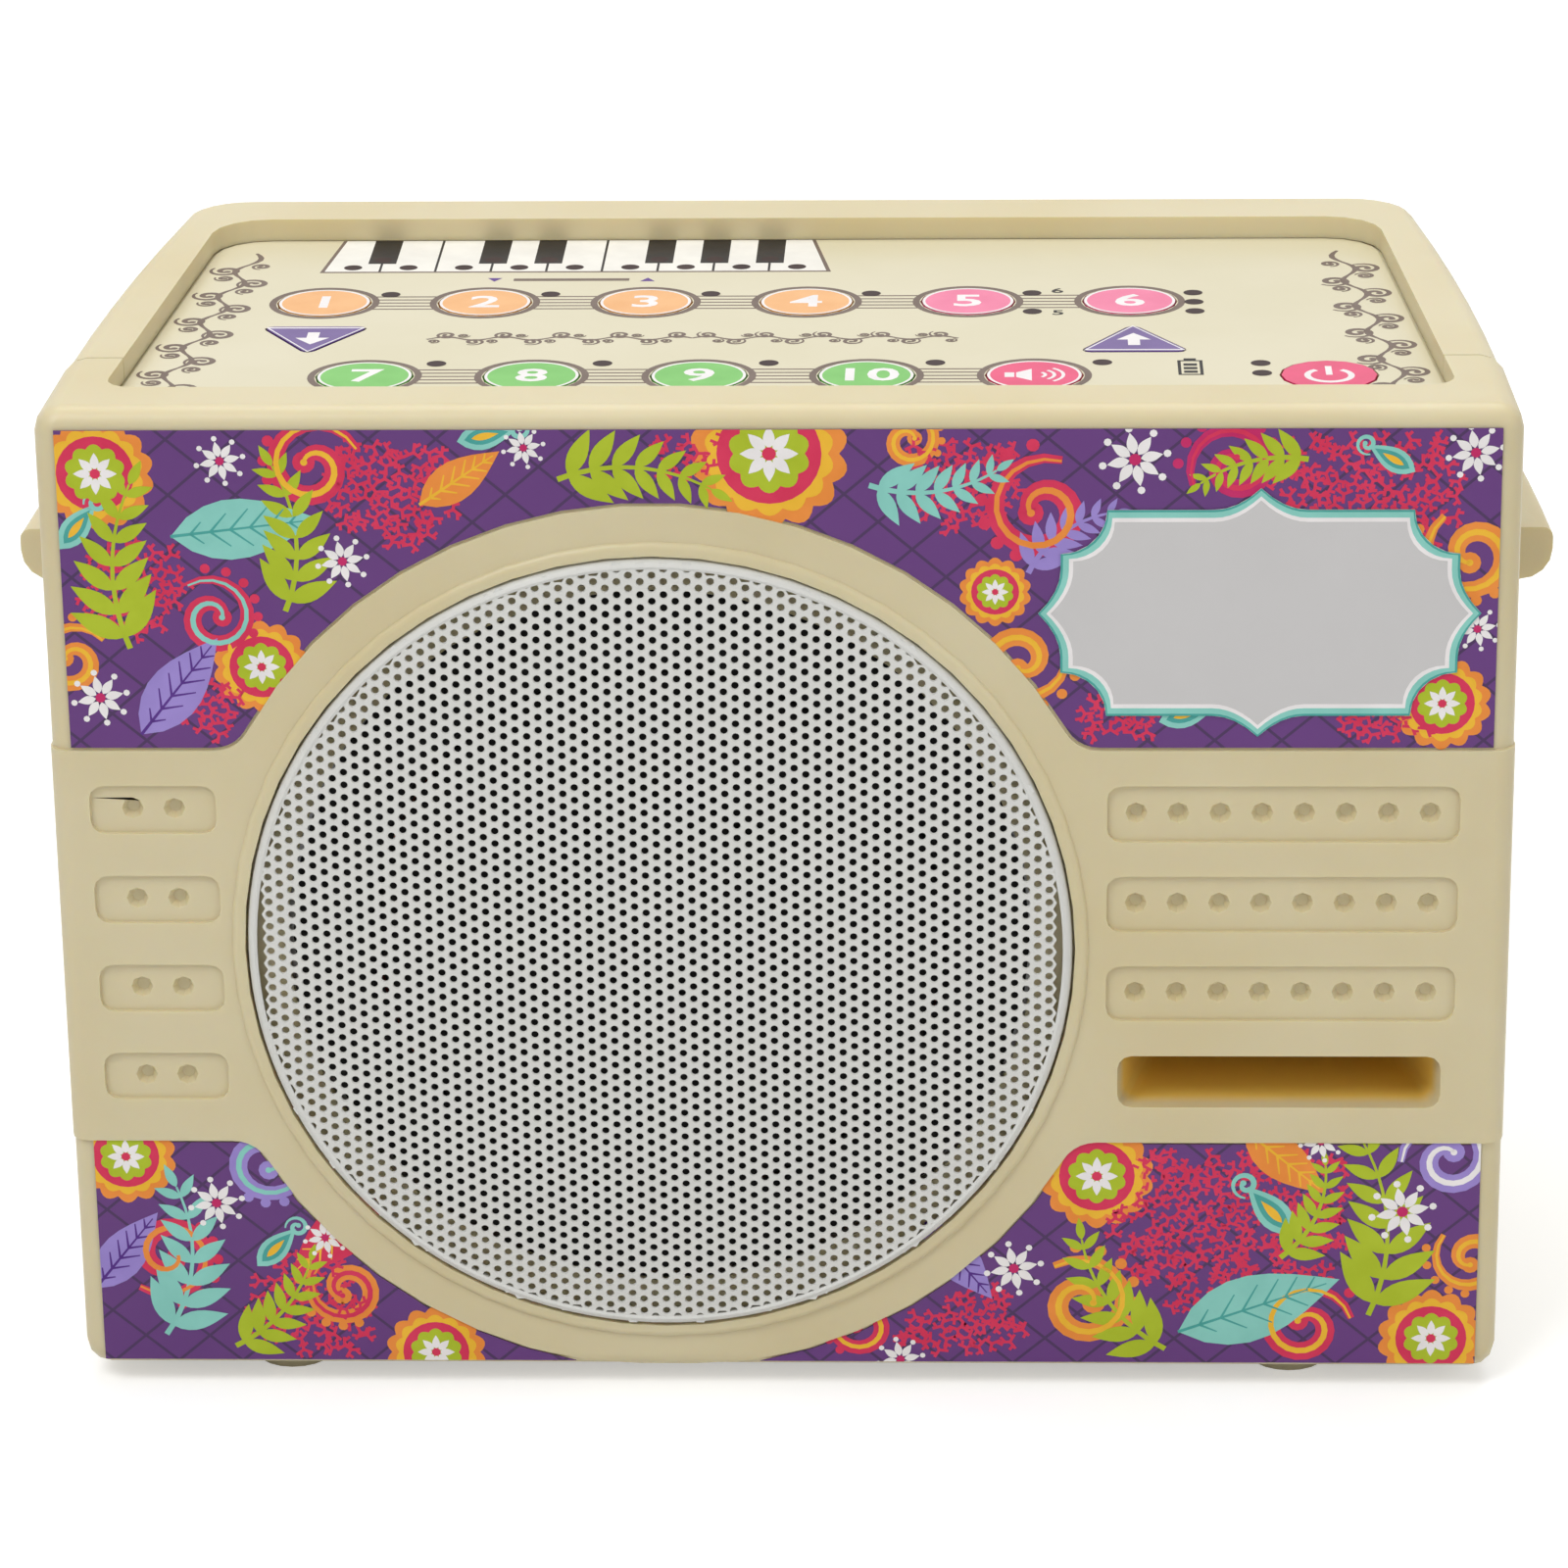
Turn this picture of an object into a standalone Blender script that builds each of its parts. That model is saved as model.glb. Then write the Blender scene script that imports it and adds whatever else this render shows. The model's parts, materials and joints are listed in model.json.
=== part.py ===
"""Electronic tanpura: a moulded box with a speaker in front and a keypad on top, as separate pieces.

A place is given by its x, its depth behind the label plane and its height above the case's underside.
"""

import math

import bmesh
import bpy
from mathutils import Matrix, Vector

MM = 0.001
COLLECTION = "electronic_tanpura"

# Clearances
GAP = 0.3 * MM
FILM_GAP = 0.1 * MM
OVERLAP = 0.6 * MM
PAST = 3.0 * MM

# Case
FRONT_WIDTH = 225.0 * MM
FRONT_SEAM_WIDTH = 223.0 * MM
REAR_SEAM_WIDTH = 221.4 * MM
BACK_WIDTH = 203.4 * MM
SIDE_BOW = 1.2 * MM
BODY_HEIGHT = 160.0 * MM
BODY_DEPTH = 121.0 * MM
SEAM_DEPTH = 27.0 * MM
WALL = 2.6 * MM
TOP_WALL = 3.7 * MM
FRONT_WALL = 3.2 * MM
BACK_WALL = 3.0 * MM
FRONT_CORNER_RADIUS = 4.0 * MM
EDGE_RADIUS = 3.2 * MM
BACK_CORNER_RADIUS = 11.0 * MM
FOOT_HEIGHT = 3.0 * MM

# Raised land round the speaker and across the middle of the front
LAND_PROUD = 0.7 * MM
LAND_SIDE_PROUD = 0.15 * MM
LAND_SETBACK = 4.0 * MM
LAND_LOW = 39.9 * MM
LAND_HIGH = 105.4 * MM
LAND_RADIUS = 72.2 * MM
LAND_FILLET = 6.0 * MM
RING_X = -19.0 * MM
RING_HEIGHT = 72.7 * MM

# Grille and its collar
GRILLE_RADIUS = 64.0 * MM
GRILLE_CLEARANCE = 0.4 * MM
GRILLE_RISE = 4.0 * MM
GRILLE_SHEET = 0.8 * MM
GRILLE_ROLL = 1.3 * MM
GRILLE_SEAT_DEPTH = 1.6 * MM
COLLAR_RADIUS = 66.5 * MM
COLLAR_PROUD = 0.8 * MM
COLLAR_LAP = 1.2 * MM
SPEAKER_HOLE_RADIUS = 58.0 * MM

# Recessed pads with dimples
PAD_DEPTH = 0.8 * MM
PAD_CORNER_RADIUS = 2.2 * MM
PAD_PITCH = 14.9 * MM
LEFT_PAD_TOP = 95.7 * MM
LEFT_PAD_X = -96.8 * MM
LEFT_PAD_SIZE = (19.5 * MM, 7.9 * MM)
LEFT_PADS = 4
LEFT_DIMPLES = 2
RIGHT_PAD_TOP = 95.0 * MM
RIGHT_PAD_X = 77.2 * MM
RIGHT_PAD_SIZE = (54.0 * MM, 9.2 * MM)
RIGHT_PADS = 3
RIGHT_DIMPLES = 8
DIMPLE_PITCH = 6.43 * MM
DIMPLE_RADIUS = 1.7 * MM
DIMPLE_FLOOR_RADIUS = 1.0 * MM
DIMPLE_DEPTH = 1.4 * MM

# Port in place of the lowest right pad
PORT_SIZE = (51.7 * MM, 8.8 * MM)
PORT_INNER_SIZE = (36.0 * MM, 7.6 * MM)
PORT_LENGTH = 26.0 * MM
PORT_WALL = 2.0 * MM
PORT_CORNER_RADIUS = 2.2 * MM

# Side grips of the rear shell
GRIP_LOW = BODY_HEIGHT - 36.6 * MM
GRIP_HIGH = GRIP_LOW + 8.5 * MM
GRIP_REACH = 9.0 * MM
GRIP_START = 0.5 * MM
GRIP_LENGTH = 62.0 * MM
GRIP_TOP_RADIUS = 1.6 * MM
GRIP_LOWER_RADIUS = 5.0 * MM

# Control panel recess
RECESS_FRONT = 11.8 * MM
RECESS_BACK = BODY_DEPTH - 14.2 * MM
RECESS_FRONT_WIDTH = 206.0 * MM
RECESS_BACK_WIDTH = 192.0 * MM
RECESS_FRONT_RADIUS = 4.0 * MM
RECESS_BACK_RADIUS = 9.0 * MM
RECESS_SINK = 1.0 * MM
PLATE_THICKNESS = 2.2 * MM
PLATE_MARGIN = 2.6 * MM
OVERLAY_THICKNESS = 0.25 * MM
OVERLAY_INSET = 0.5 * MM
RAIL_WIDTH = 6.0 * MM
RAIL_HEIGHT = 3.0 * MM
FRONT_RAIL_LENGTH = 150.0 * MM

# Keys, in depth and x as the rows run
KEY_RADIUS = 7.35 * MM
KEY_CLEARANCE = 0.35 * MM
KEY_PROUD = 0.1 * MM
KEY_FLANGE = 1.2 * MM
KEY_FLANGE_THICKNESS = 1.0 * MM
KEY_PITCH = 25.94 * MM
KEY_TRAVEL_GAP = 0.5 * MM
ROW_1_X = -75.1 * MM
ROW_1_DEPTH = 69.4 * MM
ROW_1_KEYS = 6
ROW_2_X = -64.7 * MM
ROW_2_DEPTH = 28.8 * MM
ROW_2_KEYS = 5
POWER_KEY = (84.5 * MM, 28.6 * MM)
DOWN_KEY = (-75.0 * MM, 48.6 * MM)
UP_KEY = (54.8 * MM, 48.6 * MM)
ARROW_WIDTH = 17.1 * MM
ARROW_LENGTH = 14.5 * MM
ARROW_CORNER_RADIUS = 1.0 * MM

# Indicator lights beside the keys, by the keyboard drawing and by the power key
LIGHT_RADIUS = 1.5 * MM
LIGHT_TOP_INSET = 0.5 * MM
LIGHT_HOLE_RADIUS = 1.85 * MM
LIGHT_STEP = 5.25 * MM
ROW_1_LIGHT = (10.3 * MM, 4.8 * MM)
ROW_1_LIGHT_COUNTS = (1, 1, 1, 1, 2, 3)
ROW_2_LIGHT = (10.6 * MM, 6.8 * MM)
WHITE_LIGHT_X = -72.5 * MM
WHITE_LIGHT_DEPTH = RECESS_BACK - 16.8 * MM
WHITE_LIGHT_PITCH = 9.13 * MM
WHITE_LIGHTS = 9
BLACK_LIGHT_DEPTH = WHITE_LIGHT_DEPTH + 4.6 * MM
BLACK_LIGHT_PLACES = (0.5, 2.5, 3.5, 5.5, 6.5, 7.5)
BATTERY_LIGHT = (74.2 * MM, 35.0 * MM)
BATTERY_LIGHTS = 2

# Keypad board
KEYPAD_BOARD = (-90.0 * MM, 94.0 * MM, 16.0 * MM, RECESS_BACK - 3.8 * MM)
BOARD_THICKNESS = 1.6 * MM
SWITCH_SIZE = 6.0 * MM
SWITCH_BODY_HEIGHT = 3.4 * MM
SWITCH_PLUNGER_RADIUS = 1.75 * MM
SWITCH_HEIGHT = 4.3 * MM
KEYPAD_POST_RADIUS = 3.0 * MM
KEYPAD_POST_BACK = KEYPAD_BOARD[3] - 4.0 * MM
KEYPAD_POSTS = (
    (-86.0 * MM, KEYPAD_POST_BACK), (90.0 * MM, KEYPAD_POST_BACK),
    (-86.0 * MM, 20.0 * MM), (90.0 * MM, 50.0 * MM))
KEYPAD_CONNECTOR = (-30.0 * MM, 88.0 * MM)
CONNECTOR_SIZE = (12.0 * MM, 6.0 * MM, 5.0 * MM)

# Printed labels
LABEL_THICKNESS = 0.2 * MM
LABEL_CLEARANCE = 0.4 * MM
LABEL_HALF_WIDTH = 109.0 * MM
LABEL_TOP = BODY_HEIGHT - 3.2 * MM
LABEL_BOTTOM = 1.6 * MM
PLAQUE_CENTRE = (73.0 * MM, BODY_HEIGHT - 32.4 * MM)
PLAQUE_SIZE = (60.2 * MM, 33.0 * MM)
PLAQUE_NOTCH_RADIUS = 7.0 * MM
PLAQUE_TIP = 3.4 * MM
PLAQUE_TIP_HALF = 7.0 * MM
PLAQUE_FLANK_STEPS = 4

# Speaker, whose depths are counted from the front of its flange
GASKET_OUTER_RADIUS = 63.5 * MM
GASKET_WIDTH = 4.0 * MM
GASKET_INNER_RADIUS = GASKET_OUTER_RADIUS - GASKET_WIDTH
GASKET_THICKNESS = 1.5 * MM
FLANGE_HALF = GASKET_OUTER_RADIUS + 0.5 * MM
FLANGE_CORNER_RADIUS = 40.0 * MM
FLANGE_THICKNESS = 1.6 * MM
FLANGE_HOLE_RADIUS = FLANGE_HALF - 9.0 * MM
SPEAKER_SCREW_CIRCLE = FLANGE_HALF + 5.5 * MM
CONE_RADIUS = FLANGE_HOLE_RADIUS - 11.0 * MM
CONE_DEPTH = 19.0 * MM
CONE_SHEET = 0.8 * MM
SURROUND_SHEET = 0.6 * MM
SURROUND_OUTER_RADIUS = GASKET_INNER_RADIUS - 2.0 * MM
SURROUND_ROLL_RADIUS = 3.2 * MM
SURROUND_LIP = 4.2 * MM
COIL_RADIUS = 13.05 * MM
COIL_WALL = 0.4 * MM
COIL_WINDING = 0.45 * MM
COIL_END = 33.0 * MM
COIL_LAP = 1.5 * MM
COIL_WINDING_ROOM = 3.0 * MM
DUST_CAP_RADIUS = 16.3 * MM
DUST_CAP_RISE = 4.9 * MM
DUST_CAP_SHEET = 0.6 * MM
SPIDER_DEPTH = 22.0 * MM
SPIDER_RADIUS = 33.0 * MM
SPIDER_SHEET = 0.5 * MM
SPIDER_WAVE = 0.9 * MM
SPIDER_FOLDS = 6
SPIDER_ROOM = 4.9 * MM
BASKET_SHEET = 1.2 * MM
BASKET_RIM_LAP = 2.0 * MM
BASKET_DRAW_IN = 2.5 * MM
BASKET_DRAW_DEPTH = 5.0 * MM
BASKET_LEDGE_ROOM = 2.0 * MM
BASKET_LEDGE_RISE = 2.5 * MM
BASKET_LEDGE_MARGIN = 0.5 * MM
BASKET_SEAT_LAP = 2.5 * MM
BASKET_HOLE_MARGIN = 1.0 * MM
BASKET_LEDGE_RADIUS = 29.0 * MM
BASKET_WINDOWS = 8
BASKET_WINDOW_WIDTH = 15.0 * MM
BASKET_WINDOW_START = 6.5 * MM
BASKET_WINDOW_MARGIN = 5.0 * MM
TOP_PLATE_RADIUS = 28.0 * MM
TOP_PLATE_THICKNESS = 5.0 * MM
POLE_RADIUS = 12.0 * MM
POLE_GAP = 2.1 * MM
MAGNET_RADIUS = 35.0 * MM
MAGNET_HOLE_RADIUS = 18.0 * MM
MAGNET_THICKNESS = 14.0 * MM
YOKE_RADIUS = 30.0 * MM
YOKE_THICKNESS = 5.0 * MM
TERMINAL_SIZE = (5.0 * MM, 8.0 * MM, 14.0 * MM)
TERMINAL_X = FLANGE_HALF - 5.0 * MM

# Screws and posts
SCREW_SHANK_RADIUS = 1.5 * MM
SCREW_HEAD_RADIUS = 3.0 * MM
SCREW_HEAD_HEIGHT = 1.3 * MM
CASE_SCREW_LENGTH = 12.0 * MM
CASE_POST_RADIUS = 4.5 * MM
CASE_POST_X = 86.0 * MM
CASE_POST_HEIGHTS = (12.0 * MM, BODY_HEIGHT - 22.0 * MM)
COUNTERBORE_DEPTH = 1.8 * MM
SMALL_SCREW_RADIUS = 1.2 * MM
SMALL_SCREW_LENGTH = 5.0 * MM
SPEAKER_SCREW_LENGTH = 4.6 * MM
SPEAKER_BOSS_RADIUS = 3.4 * MM

# Main board on posts of the back wall
MAIN_BOARD = (-62.0 * MM, 74.0 * MM, 30.0 * MM, 104.0 * MM)
MAIN_BOARD_DEPTH = BODY_DEPTH - 29.0 * MM
MAIN_POST_RADIUS = 3.5 * MM
MAIN_POSTS = (
    (-56.0 * MM, 98.0 * MM), (68.0 * MM, 36.0 * MM), (-56.0 * MM, 36.0 * MM), (68.0 * MM, 98.0 * MM))
SPEAKER_PLUG = (4.0 * MM, 52.0 * MM)
BATTERY_PLUG = (-16.0 * MM, 40.0 * MM)
KEYPAD_PLUG = (-32.0 * MM, 88.0 * MM)
CAPACITORS = ((30.0 * MM, 60.0 * MM), (44.0 * MM, 60.0 * MM), (30.0 * MM, 44.0 * MM))
CAPACITOR_LENGTH = 12.0 * MM
CAPACITOR_RADIUS = 5.0 * MM
PROCESSOR = ((-20.0 * MM, 66.0 * MM), (14.0 * MM, 14.0 * MM, 2.0 * MM))
MEMORY_CHIP = ((14.0 * MM, 82.0 * MM), (10.0 * MM, 16.0 * MM, 2.0 * MM))
AMPLIFIER = ((-44.0 * MM, 70.0 * MM), (12.0 * MM, 8.0 * MM, 3.0 * MM))
CHARGE_COIL = ((52.0 * MM, 90.0 * MM), (16.0 * MM, 10.0 * MM, 6.0 * MM))
CRYSTAL_BLOCK = ((-6.0 * MM, 94.0 * MM), (22.0 * MM, 5.0 * MM, 3.0 * MM))

# Jacks in a pocket of the back wall
JACK_HEIGHT = 75.0 * MM
PHONE_JACK_X = 64.0 * MM
POWER_JACK_X = 40.0 * MM
JACK_POCKET_SIZE = (54.0 * MM, 26.0 * MM)
JACK_POCKET_X = 53.0 * MM
JACK_POCKET_DEPTH = 5.0 * MM
PHONE_BUSHING_RADIUS = 4.4 * MM
PHONE_BORE_RADIUS = 3.3 * MM
PHONE_BORE_LENGTH = 21.0 * MM
PHONE_BODY_SIZE = 15.0 * MM
PHONE_NUT_RADIUS = 6.8 * MM
PHONE_NUT_THICKNESS = 2.0 * MM
BUSHING_REACH = 3.4 * MM
POWER_BARREL_RADIUS = 3.9 * MM
POWER_BORE_RADIUS = 3.1 * MM
POWER_BORE_LENGTH = 9.5 * MM
POWER_PIN_RADIUS = 1.0 * MM
POWER_BODY_SIZE = 11.0 * MM

# Battery on the floor of the rear shell
BATTERY_CELL_RADIUS = 9.2 * MM
BATTERY_LENGTH = 66.0 * MM
BATTERY_CENTRE = (40.0 * MM, BODY_DEPTH - 39.0 * MM)
BATTERY_PAD_THICKNESS = 1.0 * MM
BATTERY_PAD_INSET = 4.0 * MM
BATTERY_RIB_HEIGHT = 12.0 * MM
BATTERY_RIB_THICKNESS = 2.0 * MM
BATTERY_RIB_LENGTH = 14.0 * MM

# Feet
FOOT_RADIUS = 7.0 * MM
FOOT_TIP_RADIUS = 6.2 * MM
FOOT_X = 80.0 * MM
FOOT_DEPTHS = (12.5 * MM, BODY_DEPTH - 17.0 * MM)

# Leads
SIGNAL_LEAD_RADIUS = 1.2 * MM
RIBBON_LEAD_RADIUS = 1.8 * MM

# Facets
ROUND_STEPS = 56
PART_STEPS = 32
KEY_STEPS = 16
SCREW_STEPS = 10
POST_STEPS = 12
LIGHT_STEPS = 6
ARC_STEP = math.radians(7.5)
FLAT_ANGLE = math.radians(0.3)
NEAR = 0.01 * MM

# What follows from the sizes above
MIDDLE_DEPTH = (BODY_DEPTH - GRILLE_RISE) / 2
PLATE_TOP = BODY_HEIGHT - TOP_WALL - GAP
PLATE_BOTTOM = PLATE_TOP - PLATE_THICKNESS
OVERLAY_TOP = PLATE_TOP + FILM_GAP + OVERLAY_THICKNESS
KEY_TOP = OVERLAY_TOP + KEY_PROUD
KEY_BOTTOM = PLATE_BOTTOM - GAP - KEY_FLANGE_THICKNESS
KEYPAD_BOARD_TOP = KEY_BOTTOM - KEY_TRAVEL_GAP - SWITCH_HEIGHT
FLANGE_FRONT = FRONT_WALL + GAP + GASKET_THICKNESS + GAP
TOP_PLATE_FRONT = FLANGE_FRONT + SPIDER_DEPTH + SPIDER_ROOM
MAGNET_FRONT = TOP_PLATE_FRONT + TOP_PLATE_THICKNESS + GAP
YOKE_FRONT = MAGNET_FRONT + MAGNET_THICKNESS + GAP
POCKET_FLOOR = BODY_DEPTH - JACK_POCKET_DEPTH
JACK_WALL_FRONT = POCKET_FLOOR - BACK_WALL
MAIN_BOARD_BACK = MAIN_BOARD_DEPTH + BOARD_THICKNESS
PORT_HEIGHT = RIGHT_PAD_TOP - RIGHT_PADS * PAD_PITCH


# Places and shapes

def at(x, depth, height):
    """World position of a place on the case."""
    return Vector((x, depth - MIDDLE_DEPTH, height + FOOT_HEIGHT))


def mix(low, high, share):
    return low + (high - low) * share


def material(name, colour, roughness, metallic=0.0):
    """Principled material of one piece, with its colour as linear values."""
    made = bpy.data.materials.new(name)
    made.use_nodes = True
    shader = made.node_tree.nodes["Principled BSDF"]
    shader.inputs["Base Color"].default_value = (*colour, 1.0)
    shader.inputs["Roughness"].default_value = roughness
    shader.inputs["Metallic"].default_value = metallic
    return made


CREAM = ((0.60, 0.52, 0.33), 0.42)
BLACK_PLASTIC = ((0.02, 0.02, 0.022), 0.5)
STEEL = ((0.55, 0.55, 0.56), 0.35, 1.0)
ZINC = ((0.62, 0.62, 0.6), 0.4, 1.0)
PAPER = ((0.012, 0.011, 0.01), 0.8)
CLOTH = ((0.35, 0.2, 0.08), 0.9)
FERRITE = ((0.05, 0.05, 0.052), 0.7)
CIRCUIT_BOARD = ((0.02, 0.16, 0.06), 0.45)
FOAM = ((0.04, 0.04, 0.04), 0.95)
LABEL_PRINT = ((0.13, 0.03, 0.19), 0.4)
PLAQUE_PRINT = ((0.62, 0.60, 0.62), 0.4)
GRILLE_PAINT = ((0.66, 0.65, 0.61), 0.5)
OVERLAY_PRINT = ((0.62, 0.56, 0.38), 0.45)
ORANGE_KEY = ((0.85, 0.42, 0.14), 0.4)
PINK_KEY = ((0.86, 0.16, 0.33), 0.4)
GREEN_KEY = ((0.14, 0.52, 0.06), 0.4)
MAGENTA_KEY = ((0.75, 0.01, 0.13), 0.4)
PURPLE_KEY = ((0.10, 0.03, 0.22), 0.4)
SHRINK_WRAP = ((0.02, 0.12, 0.38), 0.45)
RED_LEAD = ((0.45, 0.02, 0.015), 0.5)
GREY_LEAD = ((0.25, 0.25, 0.26), 0.5)
RUBBER = ((0.58, 0.50, 0.33), 0.7)


def place(name, mesh, finish=None, location=Vector((0, 0, 0)), rotation=None):
    """Object with this mesh in the part's collection, or in the cutters' one where it has no finish."""
    made = bpy.data.objects.new(name, mesh)
    made.location = location
    if rotation is not None:
        made.rotation_mode = "QUATERNION"
        made.rotation_quaternion = rotation
    if finish is None:
        bpy.data.collections["cutters"].objects.link(made)
        made.hide_render = True
        made.display_type = "WIRE"
    else:
        bpy.data.collections[COLLECTION].objects.link(made)
        made.data.materials.append(material(name, *finish))
    return made


def add(target, other):
    """Joins another shape to this piece."""
    boolean(target, other, "UNION")


def cut(target, other):
    """Cuts another shape from this piece."""
    boolean(target, other, "DIFFERENCE")


def keep(target, other):
    """Keeps what lies inside another shape."""
    boolean(target, other, "INTERSECT")


def boolean(target, other, operation):
    modifier = target.modifiers.new(other.name, "BOOLEAN")
    modifier.operation = operation
    modifier.solver = "EXACT"
    modifier.object = other


def smooth(mesh, angle=math.radians(35)):
    mesh.shade_smooth()
    mesh.set_sharp_from_angle(angle=angle)


def mesh_from(name, shape):
    """Turns a bmesh into a mesh."""
    mesh = bpy.data.meshes.new(name)
    shape.to_mesh(mesh)
    shape.free()
    return mesh


def boxes(name, spans, finish=None):
    """One mesh of boxes, each from a low to a high corner given as x, depth and height."""
    shape = bmesh.new()
    for low, high in spans:
        low, high = at(*low), at(*high)
        matrix = Matrix.Translation((low + high) / 2) @ Matrix.Diagonal((*(high - low), 1))
        bmesh.ops.create_cube(shape, size=1, matrix=matrix)
    return place(name, mesh_from(name, shape), finish)


DIRECTIONS = {
    "front": Vector((0, -1, 0)),
    "back": Vector((0, 1, 0)),
    "up": Vector((0, 0, 1)),
    "down": Vector((0, 0, -1)),
}


def turn_to(direction):
    """Rotation that takes local +Z to this direction."""
    return Vector((0, 0, 1)).rotation_difference(DIRECTIONS[direction])


def rods(name, starts, length, radius, direction, finish=None, steps=PART_STEPS, end_radius=None):
    """One mesh of round rods, each from its start place along a direction."""
    shape = bmesh.new()
    turn = turn_to(direction).to_matrix().to_4x4()
    for start in starts:
        middle = at(*start) + DIRECTIONS[direction] * length / 2
        bmesh.ops.create_cone(
            shape, cap_ends=True, segments=steps, depth=length, matrix=Matrix.Translation(middle) @ turn,
            radius1=radius, radius2=radius if end_radius is None else end_radius,
        )
    mesh = mesh_from(name, shape)
    smooth(mesh)
    return place(name, mesh, finish)


def prism(name, outlines, low, high, view, finish=None):
    """Flat shape from an outline and its holes, between two depths, heights or x of the view."""
    curve = bpy.data.curves.new(name, "CURVE")
    curve.dimensions = "2D"
    curve.fill_mode = "BOTH"
    curve.extrude = (high - low) / 2
    for outline in outlines:
        spline = curve.splines.new("POLY")
        spline.points.add(len(outline) - 1)
        for point, (across, along) in zip(spline.points, outline):
            point.co = (across, along, 0, 1)
        spline.use_cyclic_u = True
    middle = (low + high) / 2
    quarter = math.radians(90)
    if view == "front":
        matrix = Matrix.Translation(at(0, middle, 0)) @ Matrix.Rotation(quarter, 4, "X")
    elif view == "side":
        turn = Matrix.Rotation(quarter, 4, "Z") @ Matrix.Rotation(quarter, 4, "X")
        matrix = Matrix.Translation(at(middle, 0, 0)) @ turn
    else:
        matrix = Matrix.Translation(at(0, 0, middle))
    mesh = mesh_of_curve(curve)
    mesh.transform(matrix)
    return place(name, mesh, finish)


def mesh_of_curve(curve):
    """Mesh of a curve, with its caps welded to its sides."""
    guide = bpy.data.objects.new(curve.name, curve)
    mesh = bpy.data.meshes.new_from_object(guide)
    shape = bmesh.new()
    shape.from_mesh(mesh)
    bmesh.ops.remove_doubles(shape, verts=shape.verts, dist=NEAR)
    bmesh.ops.recalc_face_normals(shape, faces=shape.faces)
    shape.to_mesh(mesh)
    shape.free()
    bpy.data.objects.remove(guide)
    bpy.data.curves.remove(curve)
    return mesh


def round_edges(made, chosen, radius, steps):
    """Rounds the edges that the test chooses by their two ends."""
    shape = bmesh.new()
    shape.from_mesh(made.data)
    bmesh.ops.dissolve_limit(shape, angle_limit=FLAT_ANGLE, verts=shape.verts, edges=shape.edges)
    edges = [edge for edge in shape.edges if chosen(*(vertex.co for vertex in edge.verts))]
    bmesh.ops.bevel(shape, geom=edges, offset=radius, segments=steps, profile=0.5, affect="EDGES")
    shape.to_mesh(made.data)
    shape.free()
    smooth(made.data)


def turned(name, profile, centre, direction, finish=None, steps=PART_STEPS):
    """Turned shape: its profile's points are a radius and a distance along the direction from the centre.

    A profile that starts and ends on the axis makes a solid, and any other is closed into a ring.
    """
    ring = profile[0][0] > 0 or profile[-1][0] > 0
    turns = zip(profile, profile[1:] + profile[:1])
    if sum(r0 * z1 - r1 * z0 for (r0, z0), (r1, z1) in turns) > 0:
        profile = profile[::-1]
    mesh = bpy.data.meshes.new(name)
    points = [(radius, 0, along) for radius, along in profile]
    edges = [(i, i + 1) for i in range(len(points) - 1)]
    if ring:
        edges.append((len(points) - 1, 0))
    mesh.from_pydata(points, edges, [])
    made = place(name, mesh, finish, at(*centre), turn_to(direction))
    screw = made.modifiers.new("turn", "SCREW")
    screw.axis = "Z"
    screw.steps = steps
    screw.render_steps = steps
    screw.use_merge_vertices = True
    screw.merge_threshold = 0.00001
    screw.use_smooth_shade = True
    return made


def sheet(path, thickness):
    """Closed section of a thin sheet along a path of radius and distance."""
    outer = []
    inner = []
    for i, (radius, along) in enumerate(path):
        before = path[max(i - 1, 0)]
        after = path[min(i + 1, len(path) - 1)]
        run, rise = after[0] - before[0], after[1] - before[1]
        length = math.hypot(run, rise)
        normal = (-rise / length * thickness / 2, run / length * thickness / 2)
        if radius == 0:
            normal = (0, math.copysign(thickness / 2, normal[1]))
        outer.append((radius + normal[0], along + normal[1]))
        inner.append((radius - normal[0], along - normal[1]))
    return outer[::-1] + inner if path[-1][0] == 0 else outer + inner[::-1]


def circle(x, y, radius, steps):
    """Round outline."""
    angles = [2 * math.pi * i / steps for i in range(steps)]
    return [(x + radius * math.cos(angle), y + radius * math.sin(angle)) for angle in angles]


def arc(centre, radius, start, end, steps=None):
    """Points along an arc from one angle to another."""
    steps = steps or max(2, math.ceil(abs(end - start) / ARC_STEP))
    angles = [mix(start, end, i / steps) for i in range(steps + 1)]
    return [(centre[0] + radius * math.cos(angle), centre[1] + radius * math.sin(angle)) for angle in angles]


def rounded(corners, radii, steps=4):
    """Outline of a polygon with a radius at each corner."""
    outline = []
    for i, corner in enumerate(corners):
        corner = Vector(corner)
        to_last = (Vector(corners[i - 1]) - corner).normalized()
        to_next = (Vector(corners[(i + 1) % len(corners)]) - corner).normalized()
        radius = radii[i]
        if radius == 0:
            outline.append(tuple(corner))
            continue
        half = to_last.angle(to_next) / 2
        centre = corner + (to_last + to_next).normalized() * radius / math.sin(half)
        start = corner + to_last * radius / math.tan(half)
        end = corner + to_next * radius / math.tan(half)
        first = (start - centre).to_3d()
        turn = (start - centre).angle_signed(end - centre)
        for step in range(steps + 1):
            spoke = Matrix.Rotation(-turn * step / steps, 3, "Z") @ first
            outline.append((centre.x + spoke.x, centre.y + spoke.y))
    return outline


def rectangle(x, y, size, radius, steps=4):
    """Rounded rectangle about a centre."""
    half_x, half_y = size[0] / 2, size[1] / 2
    corners = [(x - half_x, y - half_y), (x + half_x, y - half_y)]
    corners += [(x + half_x, y + half_y), (x - half_x, y + half_y)]
    return rounded(corners, [radius] * 4, steps)


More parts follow.
